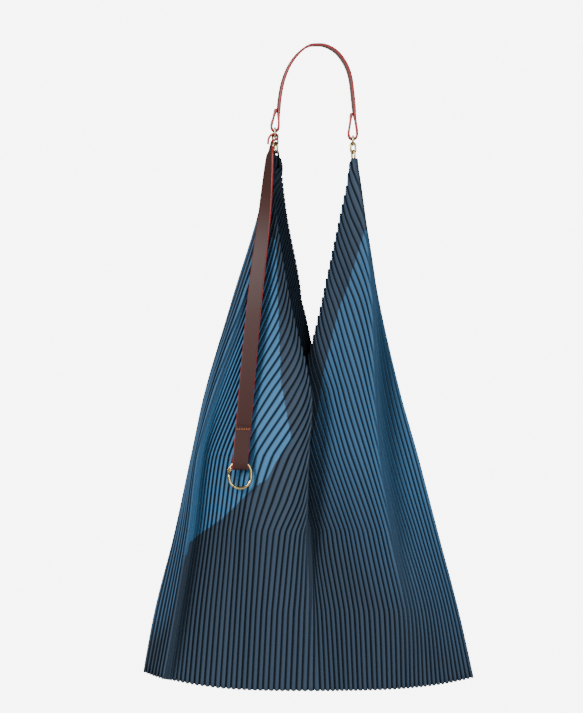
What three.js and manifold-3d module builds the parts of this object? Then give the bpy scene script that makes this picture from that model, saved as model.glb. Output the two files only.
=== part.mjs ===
// A pleated cloth bag with a leather handle on two short chains, a hanging leather strap and a gate ring.
// Millimetres, +Z up, the front faces -Y. The origin is under the top of the handle, where it is held.
import * as THREE from "three";
import { mergeVertices } from "three/addons/utils/BufferGeometryUtils.js";
import Module from "manifold-3d";

const wasm = await Module();
wasm.setup();

// Driving sizes.
const clearance = 0.3; // left between pieces that touch

const peakDrop = 116.6; // from the origin down to the left peak of the bag
const rightPeakLower = 6.6; // the right peak hangs this much lower
const bagHeight = 592; // left peak to the lowest point of the hem
const hemHalfWidth = 184;
const bagCentreX = -6.6;
const foldDepth = 34; // how far the deepest fold stands forward
const clothWall = 1.3;
const pleatsPerPanel = 72;
const pleatLeg = 3.4; // cloth from the top of one pleat to its foot
const seamInset = 0.06; // the first and last columns lie this many pleats inside the seams
const shallowestPleat = 1.2;
const deepestPleat = 2.2;
const frontMouthPitch = 10.2; // drop of the V edge from one pleat to the next
const backMouthPitch = 5.6;
const frontMouthDepth = 262; // left peak to the foot of the V
const backMouthDepth = 211;
const peakSlope = 4; // drop of the first pleat at each peak
const shoulderDrop = 10; // further drop of the cut edge over the next two pleats
const shoulderPleats = 2;
const serration = 1.6; // pleat tops stand this much above the feet along the cut edge
const hemGap = 5.2; // between the middles of the two panels along the hem
const edgeRound = 2.7; // each panel springs this far from the side seams
const edgePleats = 1.2; // within this many pleats
const slopeReach = 0.3; // pleats to each side over which the direction of the cloth is taken
const hemRiseLeft = 20;
const hemRiseRight = 15;

const strapWidth = 17;
const handleThick = 2.6;
const handleHalfSpan = hemHalfWidth * 0.239; // of the handle between its two loops
const handleDrop = 100;
const longStrapThick = 2.4;
const longStrapDrop = 464; // from the origin down to the foot of its loop
const tongueWidth = 6;

const linkWire = 2.2;
const linkSides = 6;
const linkArcPieces = 5;
const linkLength = 13.5;
const linkWidth = 8.2;
const linkTurn = Math.PI / 6; // turn of the first link from the plane of the front
const leftChainLean = -0.082;
const rightChainLean = -0.035;
const leftLinks = 2;
const rightLinks = 2;

const gateRingWire = 3.3;
const gateRingSides = 8;
const gateRingRadius = 12; // to the middle of the wire
const gateRingStraight = 5.2; // straight part of the oval
const gateRingBelow = 6.6; // from the foot of the long strap down to the middle of the ring
const knuckleRadius = 2.2;
const tongueThick = 1.1;
const pinRadius = 0.65;

const tabThick = 1.4;
const tabWidth = 3;
const tabLength = 17;
const tabBendPieces = 6;

// Folds of the bag, a row for each height. down is a share of bagHeight. Each fold has
// [pleat it follows, across as a share of hemHalfWidth, out as a share of foldDepth, forward negative].
const frontFolds = [
  { down: 0.0, leftEdge: [0, -0.257, 0], leftRidge: [0.25, -0.242, -0.065], leftValley: [0.5, -0.228, -0.08],
    leftBelly: [0.75, -0.21, -0.09], centreRidge: [1, -0.192, -0.09], foldBack: [12, -0.15, 0.1],
    pocket: [36, 0, 0.3], centreValley: [71, 0.245, -0.09], rightBelly: [71.25, 0.257, -0.09],
    rightRidge: [71.5, 0.27, -0.09], rightValley: [71.75, 0.28, -0.07], rightEdge: [72, 0.29, 0] },
  { down: 0.024, leftEdge: [0, -0.265, 0], leftRidge: [0.25, -0.252, -0.065], leftValley: [0.5, -0.24, -0.085],
    leftBelly: [0.75, -0.226, -0.095], centreRidge: [1, -0.212, -0.1], foldBack: [12, -0.15, 0.1],
    pocket: [36, 0, 0.3], centreValley: [71, 0.24, -0.085], rightBelly: [71.25, 0.255, -0.085],
    rightRidge: [71.5, 0.27, -0.085], rightValley: [71.75, 0.284, -0.07], rightEdge: [72, 0.294, 0] },
  { down: 0.117, leftEdge: [0, -0.317, 0], leftRidge: [1.6, -0.287, -0.26], leftValley: [2.4, -0.272, -0.25],
    leftBelly: [4, -0.242, -0.33], centreRidge: [6.4, -0.2, -0.42], foldBack: [12, -0.15, 0.1],
    pocket: [36, -0.03, 0.3], centreValley: [65.8, 0.18, -0.3], rightBelly: [68, 0.24, -0.35],
    rightRidge: [70, 0.314, -0.4], rightValley: [71, 0.323, -0.22], rightEdge: [72, 0.33, 0] },
  { down: 0.275, leftEdge: [0, -0.472, 0], leftRidge: [3, -0.418, -0.38], leftValley: [5, -0.376, -0.28],
    leftBelly: [10, -0.263, -0.44], centreRidge: [15.5, -0.122, -0.7], foldBack: [20, -0.1, -0.3],
    pocket: [36, -0.06, 0], centreValley: [56.7, 0.072, -0.3], rightBelly: [61, 0.197, -0.44],
    rightRidge: [66.5, 0.362, -0.65], rightValley: [68.5, 0.377, -0.28], rightEdge: [72, 0.412, 0] },
  { down: 0.442, leftEdge: [0, -0.625, 0], leftRidge: [5, -0.58, -0.44], leftValley: [8, -0.526, -0.25],
    leftBelly: [16, -0.347, -0.53], centreRidge: [25.2, 0, -1], foldBack: [27.2, -0.012, -0.7],
    pocket: [36, -0.143, -0.4], centreValley: [47, -0.042, -0.24], rightBelly: [55, 0.167, -0.47],
    rightRidge: [63, 0.38, -0.76], rightValley: [65, 0.396, -0.3], rightEdge: [72, 0.538, 0] },
  { down: 0.561, leftEdge: [0, -0.705, 0], leftRidge: [6, -0.675, -0.5], leftValley: [10, -0.632, -0.15],
    leftBelly: [20, -0.394, -0.53], centreRidge: [30, -0.012, -0.94], foldBack: [31.8, -0.022, -0.66],
    pocket: [36.7, -0.108, -0.38], centreValley: [43.5, -0.028, -0.24], rightBelly: [52, 0.185, -0.47],
    rightRidge: [60, 0.406, -0.76], rightValley: [62.5, 0.43, -0.3], rightEdge: [72, 0.646, 0] },
  { down: 0.703, leftEdge: [0, -0.81, 0], leftRidge: [6, -0.735, -0.53], leftValley: [10, -0.692, -0.1],
    leftBelly: [22, -0.412, -0.41], centreRidge: [35, -0.024, -0.7], foldBack: [35.8, -0.018, -0.56],
    pocket: [36.5, -0.012, -0.42], centreValley: [38, 0, -0.28], rightBelly: [47.5, 0.221, -0.45],
    rightRidge: [57, 0.466, -0.7], rightValley: [60, 0.514, -0.3], rightEdge: [72, 0.765, 0] },
  { down: 0.851, leftEdge: [0, -0.932, 0], leftRidge: [6, -0.816, -0.47], leftValley: [10, -0.767, -0.06],
    leftBelly: [22, -0.442, -0.35], centreRidge: [35.5, -0.018, -0.5], foldBack: [36, -0.003, -0.46],
    pocket: [36.5, 0.009, -0.42], centreValley: [37.5, 0.03, -0.38], rightBelly: [46, 0.263, -0.44],
    rightRidge: [55, 0.526, -0.53], rightValley: [59, 0.62, -0.32], rightEdge: [72, 0.89, 0] },
  { down: 1.0, leftEdge: [0, -1.02, 0], leftRidge: [6, -0.903, -0.26], leftValley: [10, -0.83, 0],
    leftBelly: [22, -0.472, -0.07], centreRidge: [35.5, -0.03, -0.07], foldBack: [36, -0.012, -0.07],
    pocket: [36.5, 0.006, -0.07], centreValley: [37.5, 0.045, -0.07], rightBelly: [46, 0.287, -0.07],
    rightRidge: [55, 0.547, -0.07], rightValley: [59, 0.651, -0.07], rightEdge: [72, 1.0, 0] },
];
const backFolds = [
  { down: 0.0, leftEdge: [0, -0.257, 0], leftSide: [0.25, -0.24, 0.06], leftLobe: [0.5, -0.215, 0.07],
    leftCut: [1, -0.18, 0.075], rightCut: [71, 0.245, 0.09], rightLobe: [71.5, 0.268, 0.09],
    rightSide: [71.75, 0.28, 0.07], rightEdge: [72, 0.29, 0] },
  { down: 0.024, leftEdge: [0, -0.265, 0], leftSide: [0.25, -0.245, 0.06], leftLobe: [0.5, -0.215, 0.075],
    leftCut: [1, -0.17, 0.085], rightCut: [71, 0.24, 0.085], rightLobe: [71.5, 0.268, 0.085],
    rightSide: [71.75, 0.284, 0.07], rightEdge: [72, 0.294, 0] },
  { down: 0.117, leftEdge: [0, -0.317, 0], leftSide: [2, -0.287, 0.24], leftLobe: [6, -0.215, 0.35],
    leftCut: [10.8, -0.134, 0.35], rightCut: [61, 0.2, 0.35], rightLobe: [66, 0.25, 0.35],
    rightSide: [70, 0.31, 0.24], rightEdge: [72, 0.33, 0] },
  { down: 0.275, leftEdge: [0, -0.472, 0], leftSide: [4, -0.4, 0.35], leftLobe: [14, -0.251, 0.5],
    leftCut: [27.4, -0.048, 0.47], rightCut: [44.6, 0.096, 0.47], rightLobe: [56, 0.25, 0.5],
    rightSide: [67, 0.37, 0.35], rightEdge: [72, 0.412, 0] },
  { down: 0.442, leftEdge: [0, -0.625, 0], leftSide: [6, -0.538, 0.47], leftLobe: [18, -0.323, 0.62],
    leftCut: [32, -0.072, 0.59], rightCut: [40, 0.072, 0.59], rightLobe: [54, 0.287, 0.62],
    rightSide: [64, 0.418, 0.47], rightEdge: [72, 0.538, 0] },
  { down: 0.561, leftEdge: [0, -0.705, 0], leftSide: [6, -0.62, 0.44], leftLobe: [18, -0.382, 0.68],
    leftCut: [32, -0.084, 0.65], rightCut: [40, 0.084, 0.65], rightLobe: [52, 0.323, 0.68],
    rightSide: [62, 0.49, 0.5], rightEdge: [72, 0.646, 0] },
  { down: 0.703, leftEdge: [0, -0.81, 0], leftSide: [6, -0.717, 0.35], leftLobe: [18, -0.466, 0.56],
    leftCut: [32, -0.108, 0.59], rightCut: [40, 0.096, 0.59], rightLobe: [50, 0.323, 0.62],
    rightSide: [60, 0.55, 0.47], rightEdge: [72, 0.765, 0] },
  { down: 0.851, leftEdge: [0, -0.932, 0], leftSide: [6, -0.816, 0.2], leftLobe: [18, -0.55, 0.38],
    leftCut: [32, -0.12, 0.4], rightCut: [40, 0.108, 0.4], rightLobe: [50, 0.382, 0.42],
    rightSide: [59, 0.62, 0.35], rightEdge: [72, 0.89, 0] },
  { down: 1.0, leftEdge: [0, -1.02, 0], leftSide: [6, -0.903, 0.07], leftLobe: [18, -0.6, 0.07],
    leftCut: [32, -0.14, 0.07], rightCut: [40, 0.12, 0.07], rightLobe: [50, 0.4, 0.07],
    rightSide: [59, 0.651, 0.07], rightEdge: [72, 1.0, 0] },
];
const hemShare = 0.15; // share of the height over which the back panel closes onto the front one
const steepest = 1.6; // most that a steep fold widens the gap between the panels there

// Share of the drop at which each row of panel corners lies, from the cut edge to the hem.
const panelRows = [0, 0.1, 0.26, 0.44, 0.62, 0.81, 1];

const clothBlue = new THREE.MeshStandardMaterial({ color: 0x3c6a90, roughness: 0.75, metalness: 0 });
const clothSlate = new THREE.MeshStandardMaterial({ color: 0x3f4f60, roughness: 0.78, metalness: 0 });
const leather = new THREE.MeshStandardMaterial({ color: 0x4c251e, roughness: 0.42, metalness: 0 });
const gold = new THREE.MeshStandardMaterial({ color: 0xe6d9b4, roughness: 0.22, metalness: 1 });

const bag = new THREE.Group();

function mix(a, b, share) {
  return a + (b - a) * share;
}

function clamp(value, low, high) {
  return Math.min(high, Math.max(low, value));
}

function smoothStep(value) {
  const share = clamp(value, 0, 1);
  return share * share * (3 - 2 * share);
}

// The folds of one panel at one height: the pleat is mixed evenly between rows, the place smoothly.
function foldsAt(table, down) {
  const last = table.length - 1;
  let row = 0;
  while (row < last - 1 && table[row + 1].down < down) row += 1;
  const before = table[Math.max(0, row - 1)];
  const from = table[row];
  const to = table[row + 1];
  const after = table[Math.min(last, row + 2)];
  const span = to.down - from.down;
  const share = clamp((down - from.down) / span, 0, 1);
  const names = Object.keys(from).filter((name) => name !== "down");
  return names.map((name) => {
    const pleat = mix(from[name][0], to[name][0], share);
    const place = [1, 2].map((column) => {
      const slopeFrom = ((to[name][column] - before[name][column]) / (to.down - before.down)) * span;
      const slopeTo = ((after[name][column] - from[name][column]) / (after.down - from.down)) * span;
      return hermite(from[name][column], to[name][column], slopeFrom, slopeTo, share);
    });
    return { pleat, across: place[0], out: place[1] };
  });
}

function hermite(from, to, slopeFrom, slopeTo, share) {
  const square = share * share;
  const cube = square * share;
  return (
    (2 * cube - 3 * square + 1) * from +
    (cube - 2 * square + share) * slopeFrom +
    (3 * square - 2 * cube) * to +
    (cube - square) * slopeTo
  );
}

// A smooth value through the folds. Where steady is true the curve never swings past a fold.
function throughFolds(folds, key, pleat, steady) {
  const last = folds.length - 1;
  let i = 0;
  while (i < last - 1 && folds[i + 1].pleat < pleat) i += 1;
  const rise = (a, b) => (folds[b][key] - folds[a][key]) / (folds[b].pleat - folds[a].pleat);
  const slope = (k) => {
    if (k === 0) return rise(0, 1);
    if (k === last) return rise(last - 1, last);
    const left = rise(k - 1, k);
    const right = rise(k, k + 1);
    if (!steady) return (left + right) / 2;
    return left * right > 0 ? (2 * left * right) / (left + right) : 0;
  };
  const span = folds[i + 1].pleat - folds[i].pleat;
  const share = clamp((pleat - folds[i].pleat) / span, 0, 1);
  return hermite(folds[i][key], folds[i + 1][key], slope(i) * span, slope(i + 1) * span, share);
}

// From 0 at the side seams to 1 a little way in, as a quarter circle.
function roundEdge(pleat) {
  const share = clamp(Math.min(pleat, pleatsPerPanel - pleat) / edgePleats, 0, 1);
  return Math.sqrt(1 - (1 - share) ** 2);
}

function frontPlace(pleat, down) {
  const folds = foldsAt(frontFolds, down);
  return [
    throughFolds(folds, "across", pleat, true) * hemHalfWidth,
    throughFolds(folds, "out", pleat, false) * foldDepth - roundEdge(pleat) * edgeRound,
  ];
}

function backPlace(pleat, down) {
  const folds = foldsAt(backFolds, down);
  const free = [
    throughFolds(folds, "across", pleat, true) * hemHalfWidth,
    throughFolds(folds, "out", pleat, false) * foldDepth + roundEdge(pleat) * edgeRound,
  ];
  const front = frontPlace(pleat, down);
  const ahead = frontPlace(Math.min(pleat + 0.5, pleatsPerPanel), down);
  const behind = frontPlace(Math.max(pleat - 0.5, 0), down);
  const run = Math.abs(ahead[0] - behind[0]);
  const steep = Math.hypot(run, ahead[1] - behind[1]) / Math.max(run, 1e-6);
  const apart = hemGap * Math.min(steep, steepest) * roundEdge(pleat);
  const closed = smoothStep((down - (1 - hemShare)) / hemShare);
  return [mix(free[0], front[0], closed), mix(free[1], front[1] + apart, closed)];
}

// Drop of the cut edge below the left peak at one pleat.
function cutEdge(pleat, pitch, depth) {
  const inner = Math.min(pleat, pleatsPerPanel - pleat);
  const lower = pleat > pleatsPerPanel / 2 ? rightPeakLower * Math.max(0, 1 - inner / 2) : 0;
  const past = Math.max(0, inner - 1);
  const shoulder = shoulderDrop * Math.min(past / shoulderPleats, 1);
  return Math.min(depth, peakSlope * Math.min(inner, 1) + shoulder + pitch * past) + lower;
}

function hemDrop(across) {
  const share = across / hemHalfWidth;
  return bagHeight - (share < 0 ? hemRiseLeft : hemRiseRight) * Math.abs(share) ** 3;
}

// One pleated panel: its outer face follows the folds with a zigzag of pleats, and its inner face is a
// wall inside.
function pleatedPanel(place, pitch, depth, facing) {
  const columns = pleatsPerPanel * 2;
  const outer = [];
  const inner = [];
  for (let column = 0; column <= columns; column += 1) {
    const atSeam = column === 0 ? 1 : column === columns ? -1 : 0;
    const pleat = column / 2 + atSeam * seamInset;
    const crest = column % 2 === 1 ? 1 : -1;
    const top = cutEdge(pleat, pitch, depth) - (crest * serration) / 2 + serration / 2;
    const hem = hemDrop(place(pleat, 1)[0]) + (crest * serration) / 4;
    for (const share of panelRows) {
      const drop = mix(top, hem, share);
      const down = drop / bagHeight;
      const lower = Math.max(0, pleat - slopeReach);
      const upper = Math.min(pleatsPerPanel, pleat + slopeReach);
      const before = place(lower, down);
      const after = place(upper, down);
      const run = upper - lower;
      const along = [(after[0] - before[0]) / run, (after[1] - before[1]) / run];
      const width = Math.hypot(along[0], along[1]);
      const seamFacing = pleat < pleatsPerPanel / 2 ? -1 : 1;
      const normal = atSeam
        ? [seamFacing, 0]
        : [(along[1] / width) * facing, (-along[0] / width) * facing];
      const pleatDepth = Math.sqrt(Math.max(pleatLeg ** 2 - (width / 2) ** 2, 0));
      const rise = (crest * clamp(pleatDepth, shallowestPleat, deepestPleat)) / 2;
      const [across, out] = place(pleat, down);
      const x = bagCentreX + across;
      const z = -peakDrop - drop;
      outer.push(new THREE.Vector3(x + normal[0] * rise, out + normal[1] * rise, z));
      const back = rise - clothWall;
      inner.push(new THREE.Vector3(x + normal[0] * back, out + normal[1] * back, z));
    }
  }
  return slab(outer, inner, columns + 1, panelRows.length);
}

// A closed sheet from two grids of points, columns by rows.
function slab(outer, inner, columns, rows) {
  const points = [...outer, ...inner];
  const under = outer.length;
  const faces = [];
  const quad = (a, b, c, d) => faces.push(a, b, c, a, c, d);
  const at = (column, row) => column * rows + row;
  for (let c = 0; c < columns - 1; c += 1) {
    for (let r = 0; r < rows - 1; r += 1) {
      quad(at(c, r), at(c, r + 1), at(c + 1, r + 1), at(c + 1, r));
      quad(under + at(c, r), under + at(c + 1, r), under + at(c + 1, r + 1), under + at(c, r + 1));
    }
    quad(at(c, 0), at(c + 1, 0), under + at(c + 1, 0), under + at(c, 0));
    const end = rows - 1;
    quad(at(c + 1, end), at(c, end), under + at(c, end), under + at(c + 1, end));
  }
  for (let r = 0; r < rows - 1; r += 1) {
    quad(at(0, r + 1), at(0, r), under + at(0, r), under + at(0, r + 1));
    const side = columns - 1;
    quad(at(side, r), at(side, r + 1), under + at(side, r + 1), under + at(side, r));
  }
  return facingOut(points, faces);
}

// A geometry from points and triangles, turned so that its faces point out.
function facingOut(points, faces) {
  let volume = 0;
  for (let i = 0; i < faces.length; i += 3) {
    const [a, b, c] = [points[faces[i]], points[faces[i + 1]], points[faces[i + 2]]];
    volume += a.dot(b.clone().cross(c));
  }
  if (volume < 0) {
    for (let i = 0; i < faces.length; i += 3) [faces[i], faces[i + 1]] = [faces[i + 1], faces[i]];
  }
  const geometry = new THREE.BufferGeometry();
  const places = points.flatMap((p) => [p.x, p.y, p.z]);
  geometry.setAttribute("position", new THREE.Float32BufferAttribute(places, 3));
  geometry.setIndex(faces);
  return geometry;
}

// A section carried along a path. sides gives the direction of the section's first axis at each point.
function sweep(path, sides, sections, closed) {
  const points = [];
  const count = path.length;
  const around = sections[0].length;
  path.forEach((place, i) => {
    const next = closed ? path[(i + 1) % count] : path[Math.min(i + 1, count - 1)];
    const previous = closed ? path[(i + count - 1) % count] : path[Math.max(i - 1, 0)];
    const along = next.clone().sub(previous).normalize();
    const side = sides[i].clone().addScaledVector(along, -sides[i].dot(along)).normalize();
    const up = along.clone().cross(side);
    for (const [a, b] of sections[i % sections.length]) {
      points.push(place.clone().addScaledVector(side, a).addScaledVector(up, b));
    }
  });
  const faces = [];
  const rings = closed ? count : count - 1;
  for (let i = 0; i < rings; i += 1) {
    const next = ((i + 1) % count) * around;
    for (let k = 0; k < around; k += 1) {
      const other = (k + 1) % around;
      faces.push(i * around + k, next + k, next + other, i * around + k, next + other, i * around + other);
    }
  }
  if (!closed) {
    const end = (count - 1) * around;
    for (let k = 1; k < around - 1; k += 1) faces.push(0, k, k + 1, end, end + k + 1, end + k);
  }
  return facingOut(points, faces);
}

function roundSection(radius, sides) {
  return Array.from({ length: sides }, (_, k) => {
    const angle = ((k + 0.5) / sides) * 2 * Math.PI;
    return [radius * Math.cos(angle), radius * Math.sin(angle)];
  });
}

function flatSection(width, thick) {
  return [
    [-width / 2, -thick / 2],
    [width / 2, -thick / 2],
    [width / 2, thick / 2],
    [-width / 2, thick / 2],
  ];
}

function addPiece(name, geometry, material, parent = bag) {
  const mesh = new THREE.Mesh(geometry, material);
  mesh.name = name;
  parent.add(mesh);
  return mesh;
}

function curvePoints(points, pieces) {
  const curve = new THREE.CatmullRomCurve3(points, false, "centripetal");
  return curve.getSpacedPoints(pieces);
}

// Joins and cuts.
function toSolid(geometry, matrix = new THREE.Matrix4()) {
  const bare = geometry.clone().applyMatrix4(matrix);
  for (const key of Object.keys(bare.attributes)) if (key !== "position") bare.deleteAttribute(key);
  const merged = mergeVertices(bare, 1e-4);
  return new wasm.Manifold(
    new wasm.Mesh({
      numProp: 3,
      vertProperties: merged.attributes.position.array,
      triVerts: new Uint32Array(merged.index.array),
    }),
  );
}

function toGeometry(solid) {
  const made = solid.getMesh();
  const geometry = new THREE.BufferGeometry();
  geometry.setAttribute("position", new THREE.Float32BufferAttribute(made.vertProperties, 3));
  geometry.setIndex(Array.from(made.triVerts));
  return geometry;
}

const handleAxis = new THREE.Vector3(0, 1, 0);
const handleSteps = 84;

// The handle: one strap seen on edge, its two ends folded back into loops. Each point is
// [across as a share of handleHalfSpan, up as a share of handleDrop].
const handleRoute = [
  [-1, -0.693], [-1.064, -0.792], [-1.116, -0.884], [-1.089, -0.923], [-1.025, -0.935], [-0.961, -0.923],
  [-0.934, -0.884], [-0.934, -0.704], [-0.891, -0.528], [-0.814, -0.374], [-0.668, -0.217], [-0.432, -0.077],
  [-0.182, 0.002], [0, 0.013], [0.227, 0.004], [0.511, -0.066], [0.736, -0.198], [0.85, -0.334],
  [0.923, -0.572], [0.959, -0.737], [1.027, -0.972], [1, -1.01], [0.925, -1.023], [0.85, -1.012],
  [0.816, -0.976], [0.85, -0.86], [0.891, -0.74],
].map(([across, up]) => [across * handleHalfSpan, up * handleDrop]);
const handleLoopLeft = handleRoute[4];
const handleLoopRight = handleRoute[22];

function addHandle() {
  const route = handleRoute.map(([x, z]) => new THREE.Vector3(x, 0, z));
  const path = curvePoints(route, handleSteps);
  const sides = path.map(() => handleAxis);
  addPiece("handle_strap", sweep(path, sides, [flatSection(strapWidth, handleThick)], false), leather);
}

// An oval of wire in the XZ plane about its own middle.
function ovalPath(halfLength, radius, arcPieces) {
  const path = [];
  for (const end of [1, -1]) {
    for (let k = 0; k <= arcPieces; k += 1) {
      const angle = (k / arcPieces) * Math.PI + (end < 0 ? Math.PI : 0);
      path.push(new THREE.Vector3(radius * Math.cos(angle), 0, end * halfLength + radius * Math.sin(angle)));
    }
  }
  return path;
}

const strapRingInnerHeight = handleThick + longStrapThick + linkWire / 2 + clearance * 3;
const strapRingHeight = strapRingInnerHeight + linkWire; // to the middle of the wire
const strapRingSlack = 3; // longer inside than the strap is wide
const strapRingLength = strapWidth + strapRingSlack + linkWire;
const strapRingCorner = 2.6;
const cornerPieces = 4;

// A ring as wide as the strap, in the YZ plane, that joins a loop of the handle to its chain.
function addStrapRing(name, loopBottom) {
  const path = [];
  for (const [along, up, start] of [[1, 1, 0], [-1, 1, 1], [-1, -1, 2], [1, -1, 3]]) {
    const centreY = along * (strapRingLength / 2 - strapRingCorner);
    const centreZ = up * (strapRingHeight / 2 - strapRingCorner);
    for (let k = 0; k <= cornerPieces; k += 1) {
      const angle = ((start + k / cornerPieces) * Math.PI) / 2;
      const y = centreY + strapRingCorner * Math.cos(angle);
      const z = centreZ + strapRingCorner * Math.sin(angle);
      path.push(new THREE.Vector3(0, y, z));
    }
  }
  const sides = path.map(() => new THREE.Vector3(1, 0, 0));
  const ring = addPiece(name, sweep(path, sides, [roundSection(linkWire / 2, linkSides)], true), gold);
  const topWire = loopBottom[1] + handleThick / 2 + clearance + linkWire / 2;
  ring.position.set(loopBottom[0], 0, topWire - strapRingHeight / 2);
  return topWire - strapRingHeight;
}

// Links that hang from a wire, each turned a quarter turn from the one above, with a tab on the last.
function addChain(side, top, count, lean) {
  const chain = new THREE.Group();
  chain.position.set(top[0], 0, top[1]);
  chain.rotation.y = lean;
  bag.add(chain);
  const radius = (linkWidth - linkWire) / 2;
  const halfLength = (linkLength - linkWidth) / 2;
  const path = ovalPath(halfLength, radius, linkArcPieces);
  const sides = path.map(() => new THREE.Vector3(0, 1, 0));
  const wireGap = linkWire + clearance;
  const pitch = linkLength - linkWire - wireGap;
  const firstMiddle = wireGap - (linkLength - linkWire) / 2;
  for (let k = 0; k < count; k += 1) {
    const geometry = sweep(path, sides, [roundSection(linkWire / 2, linkSides)], true);
    const link = addPiece(side + "_chain_link_" + (k + 1), geometry, gold, chain);
    link.position.z = firstMiddle - k * pitch;
    link.rotation.z = linkTurn - (k % 2) * (Math.PI / 2);
  }
  const lastWire = firstMiddle - (count - 1) * pitch - (linkLength - linkWire) / 2;
  const archRise = radius - Math.sqrt(radius ** 2 - (tabWidth / 2) ** 2);
  const bend = linkWire / 2 + clearance + archRise + tabThick / 2;
  const route = [new THREE.Vector3(-bend, 0, -tabLength)];
  for (let k = 0; k <= tabBendPieces; k += 1) {
    const angle = Math.PI - (k / tabBendPieces) * Math.PI;
    route.push(new THREE.Vector3(bend * Math.cos(angle), 0, bend * Math.sin(angle)));
  }
  route.push(new THREE.Vector3(bend, 0, -tabLength));
  const tabSides = route.map(() => new THREE.Vector3(0, 1, 0));
  const tabShape = sweep(route, tabSides, [flatSection(tabWidth, tabThick)], false);
  const tab = addPiece(side + "_peak_tab", tabShape, leather, chain);
  tab.position.z = lastWire;
  tab.rotation.z = linkTurn + (count % 2) * (Math.PI / 2);
}

// The long strap, from the tip of its tongue, over the foot of the left ring, down the front of the bag
// and round the loop that holds the gate ring. The tongue's rows lie about the foot of the ring:
// across and up as shares of tongueBend, out as a share of foldDepth.
const tongueBend = linkWire / 2 + longStrapThick / 2 + clearance * 2;
const tongueRows = [
  { across: -2.65, out: -0.191, up: -2.88 },
  { across: -2.38, out: -0.191, up: -0.77 },
  { across: -1.46, out: -0.191, up: 0.54 },
  { across: -0.19, out: -0.191, up: 1.04 },
  { across: 0.85, out: -0.191, up: 0.58 },
  { across: 1.04, out: -0.191, up: -0.35 },
  { across: 0.31, out: -0.191, up: -1.08 },
  { across: -1.04, out: -0.197, up: -1.85 },
];
// The rest has across as a share of hemHalfWidth, out as a share of foldDepth, down as a share of
// longStrapDrop, wide as a share of strapWidth, and turn, that of its width about the vertical in degrees.
const longStrapRows = [
  { across: -0.2685, out: -0.25, down: 0.2349, turn: -88, wide: 0.47 },
  { across: -0.2712, out: -0.371, down: 0.2457, turn: -78, wide: 0.71 },
  { across: -0.275, out: -0.512, down: 0.2629, turn: -66, wide: 1 },
  { across: -0.288, out: -0.565, down: 0.3233, turn: -50, wide: 1 },
  { across: -0.3071, out: -0.618, down: 0.4052, turn: -34, wide: 1 },
  { across: -0.3402, out: -0.706, down: 0.5172, turn: -20, wide: 1 },
  { across: -0.3728, out: -0.8, down: 0.6379, turn: -13, wide: 1 },
  { across: -0.4027, out: -0.841, down: 0.7672, turn: -9, wide: 1 },
  { across: -0.4228, out: -0.826, down: 0.8621, turn: -4, wide: 1 },
  { across: -0.4326, out: -0.803, down: 0.9052, turn: -1, wide: 1 },
  { across: -0.4424, out: -0.776, down: 0.9483, turn: 0, wide: 1 },
  { across: -0.4495, out: -0.75, down: 0.9806, turn: 0, wide: 1 },
  { across: -0.4511, out: -0.771, down: 0.994, turn: 0, wide: 1 },
  { across: -0.4516, out: -0.85, down: 1, turn: 0, wide: 1 },
  { across: -0.4511, out: -0.929, down: 0.994, turn: 0, wide: 1 },
  { across: -0.4495, out: -0.95, down: 0.9806, turn: 0, wide: 1 },
  { across: -0.4424, out: -0.921, down: 0.9483, turn: 0, wide: 1 },
  { across: -0.4342, out: -0.885, down: 0.9138, turn: 0, wide: 1 },
  { across: -0.431, out: -0.882, down: 0.8998, turn: -1, wide: 1 },
];
const stepsPerStrapRow = 2;

// Place, turn and width of the long strap at each row.
function longStrapRoute(ringFootX, ringFootZ) {
  const tongue = tongueRows.map((row) => ({
    place: new THREE.Vector3(
      ringFootX + row.across * tongueBend,
      row.out * foldDepth,
      ringFootZ + row.up * tongueBend,
    ),
    turn: -90,
    width: tongueWidth,
  }));
  const strap = longStrapRows.map((row) => ({
    place: new THREE.Vector3(row.across * hemHalfWidth, row.out * foldDepth, -row.down * longStrapDrop),
    turn: row.turn,
    width: row.wide * strapWidth,
  }));
  return [...tongue, ...strap];
}

function addLongStrap(ringFootX, ringFootZ) {
  const route = longStrapRoute(ringFootX, ringFootZ);
  const curve = new THREE.CatmullRomCurve3(route.map((row) => row.place));
  const path = [];
  const sides = [];
  const sections = [];
  const last = route.length - 1;
  for (let step = 0; step <= last * stepsPerStrapRow; step += 1) {
    const row = Math.min(Math.floor(step / stepsPerStrapRow), last - 1);
    const share = step / stepsPerStrapRow - row;
    const [from, to] = [route[row], route[row + 1]];
    const turn = THREE.MathUtils.degToRad(mix(from.turn, to.turn, share));
    path.push(curve.getPoint(step / (last * stepsPerStrapRow)));
    sides.push(new THREE.Vector3(Math.cos(turn), Math.sin(turn), 0));
    sections.push(flatSection(mix(from.width, to.width, share), longStrapThick));
  }
  addPiece("long_strap", sweep(path, sides, sections, false), leather);
}

// The gate ring hangs in the loop of the long strap. Its gate turns inwards about a pin at the upper left.
const gateRingX = -0.4511 * hemHalfWidth;
const gateRingY = -0.85 * foldDepth;
const gateRingZ = -longStrapDrop - gateRingBelow;
const hingeAngle = 168; // degrees round the upper half circle
const seamAngle = 235; // degrees round the lower half circle
const seamFace = 100; // direction from the ring to the gate across their slanting seam
const gateClearOfPin = 3;
const gateTopShift = -0.3; // the gate's wire starts this far outwards of the pin
const barPast = 0.4; // the knuckle's bar runs this far into the wire
const barShare = 0.8; // and is this share of the wire's thickness wide
const pinSides = 12;
const knuckleSides = 16;

function ringPoint(upper, degrees) {
  const angle = THREE.MathUtils.degToRad(degrees);
  const middle = ((upper ? 1 : -1) * gateRingStraight) / 2;
  return new THREE.Vector3(gateRingRadius * Math.cos(angle), 0, middle + gateRingRadius * Math.sin(angle));
}

function arcPoints(upper, from, to) {
  const pieces = Math.max(1, Math.round(Math.abs(to - from) / 15));
  return Array.from({ length: pieces + 1 }, (_, k) => ringPoint(upper, mix(from, to, k / pieces)));
}

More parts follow.
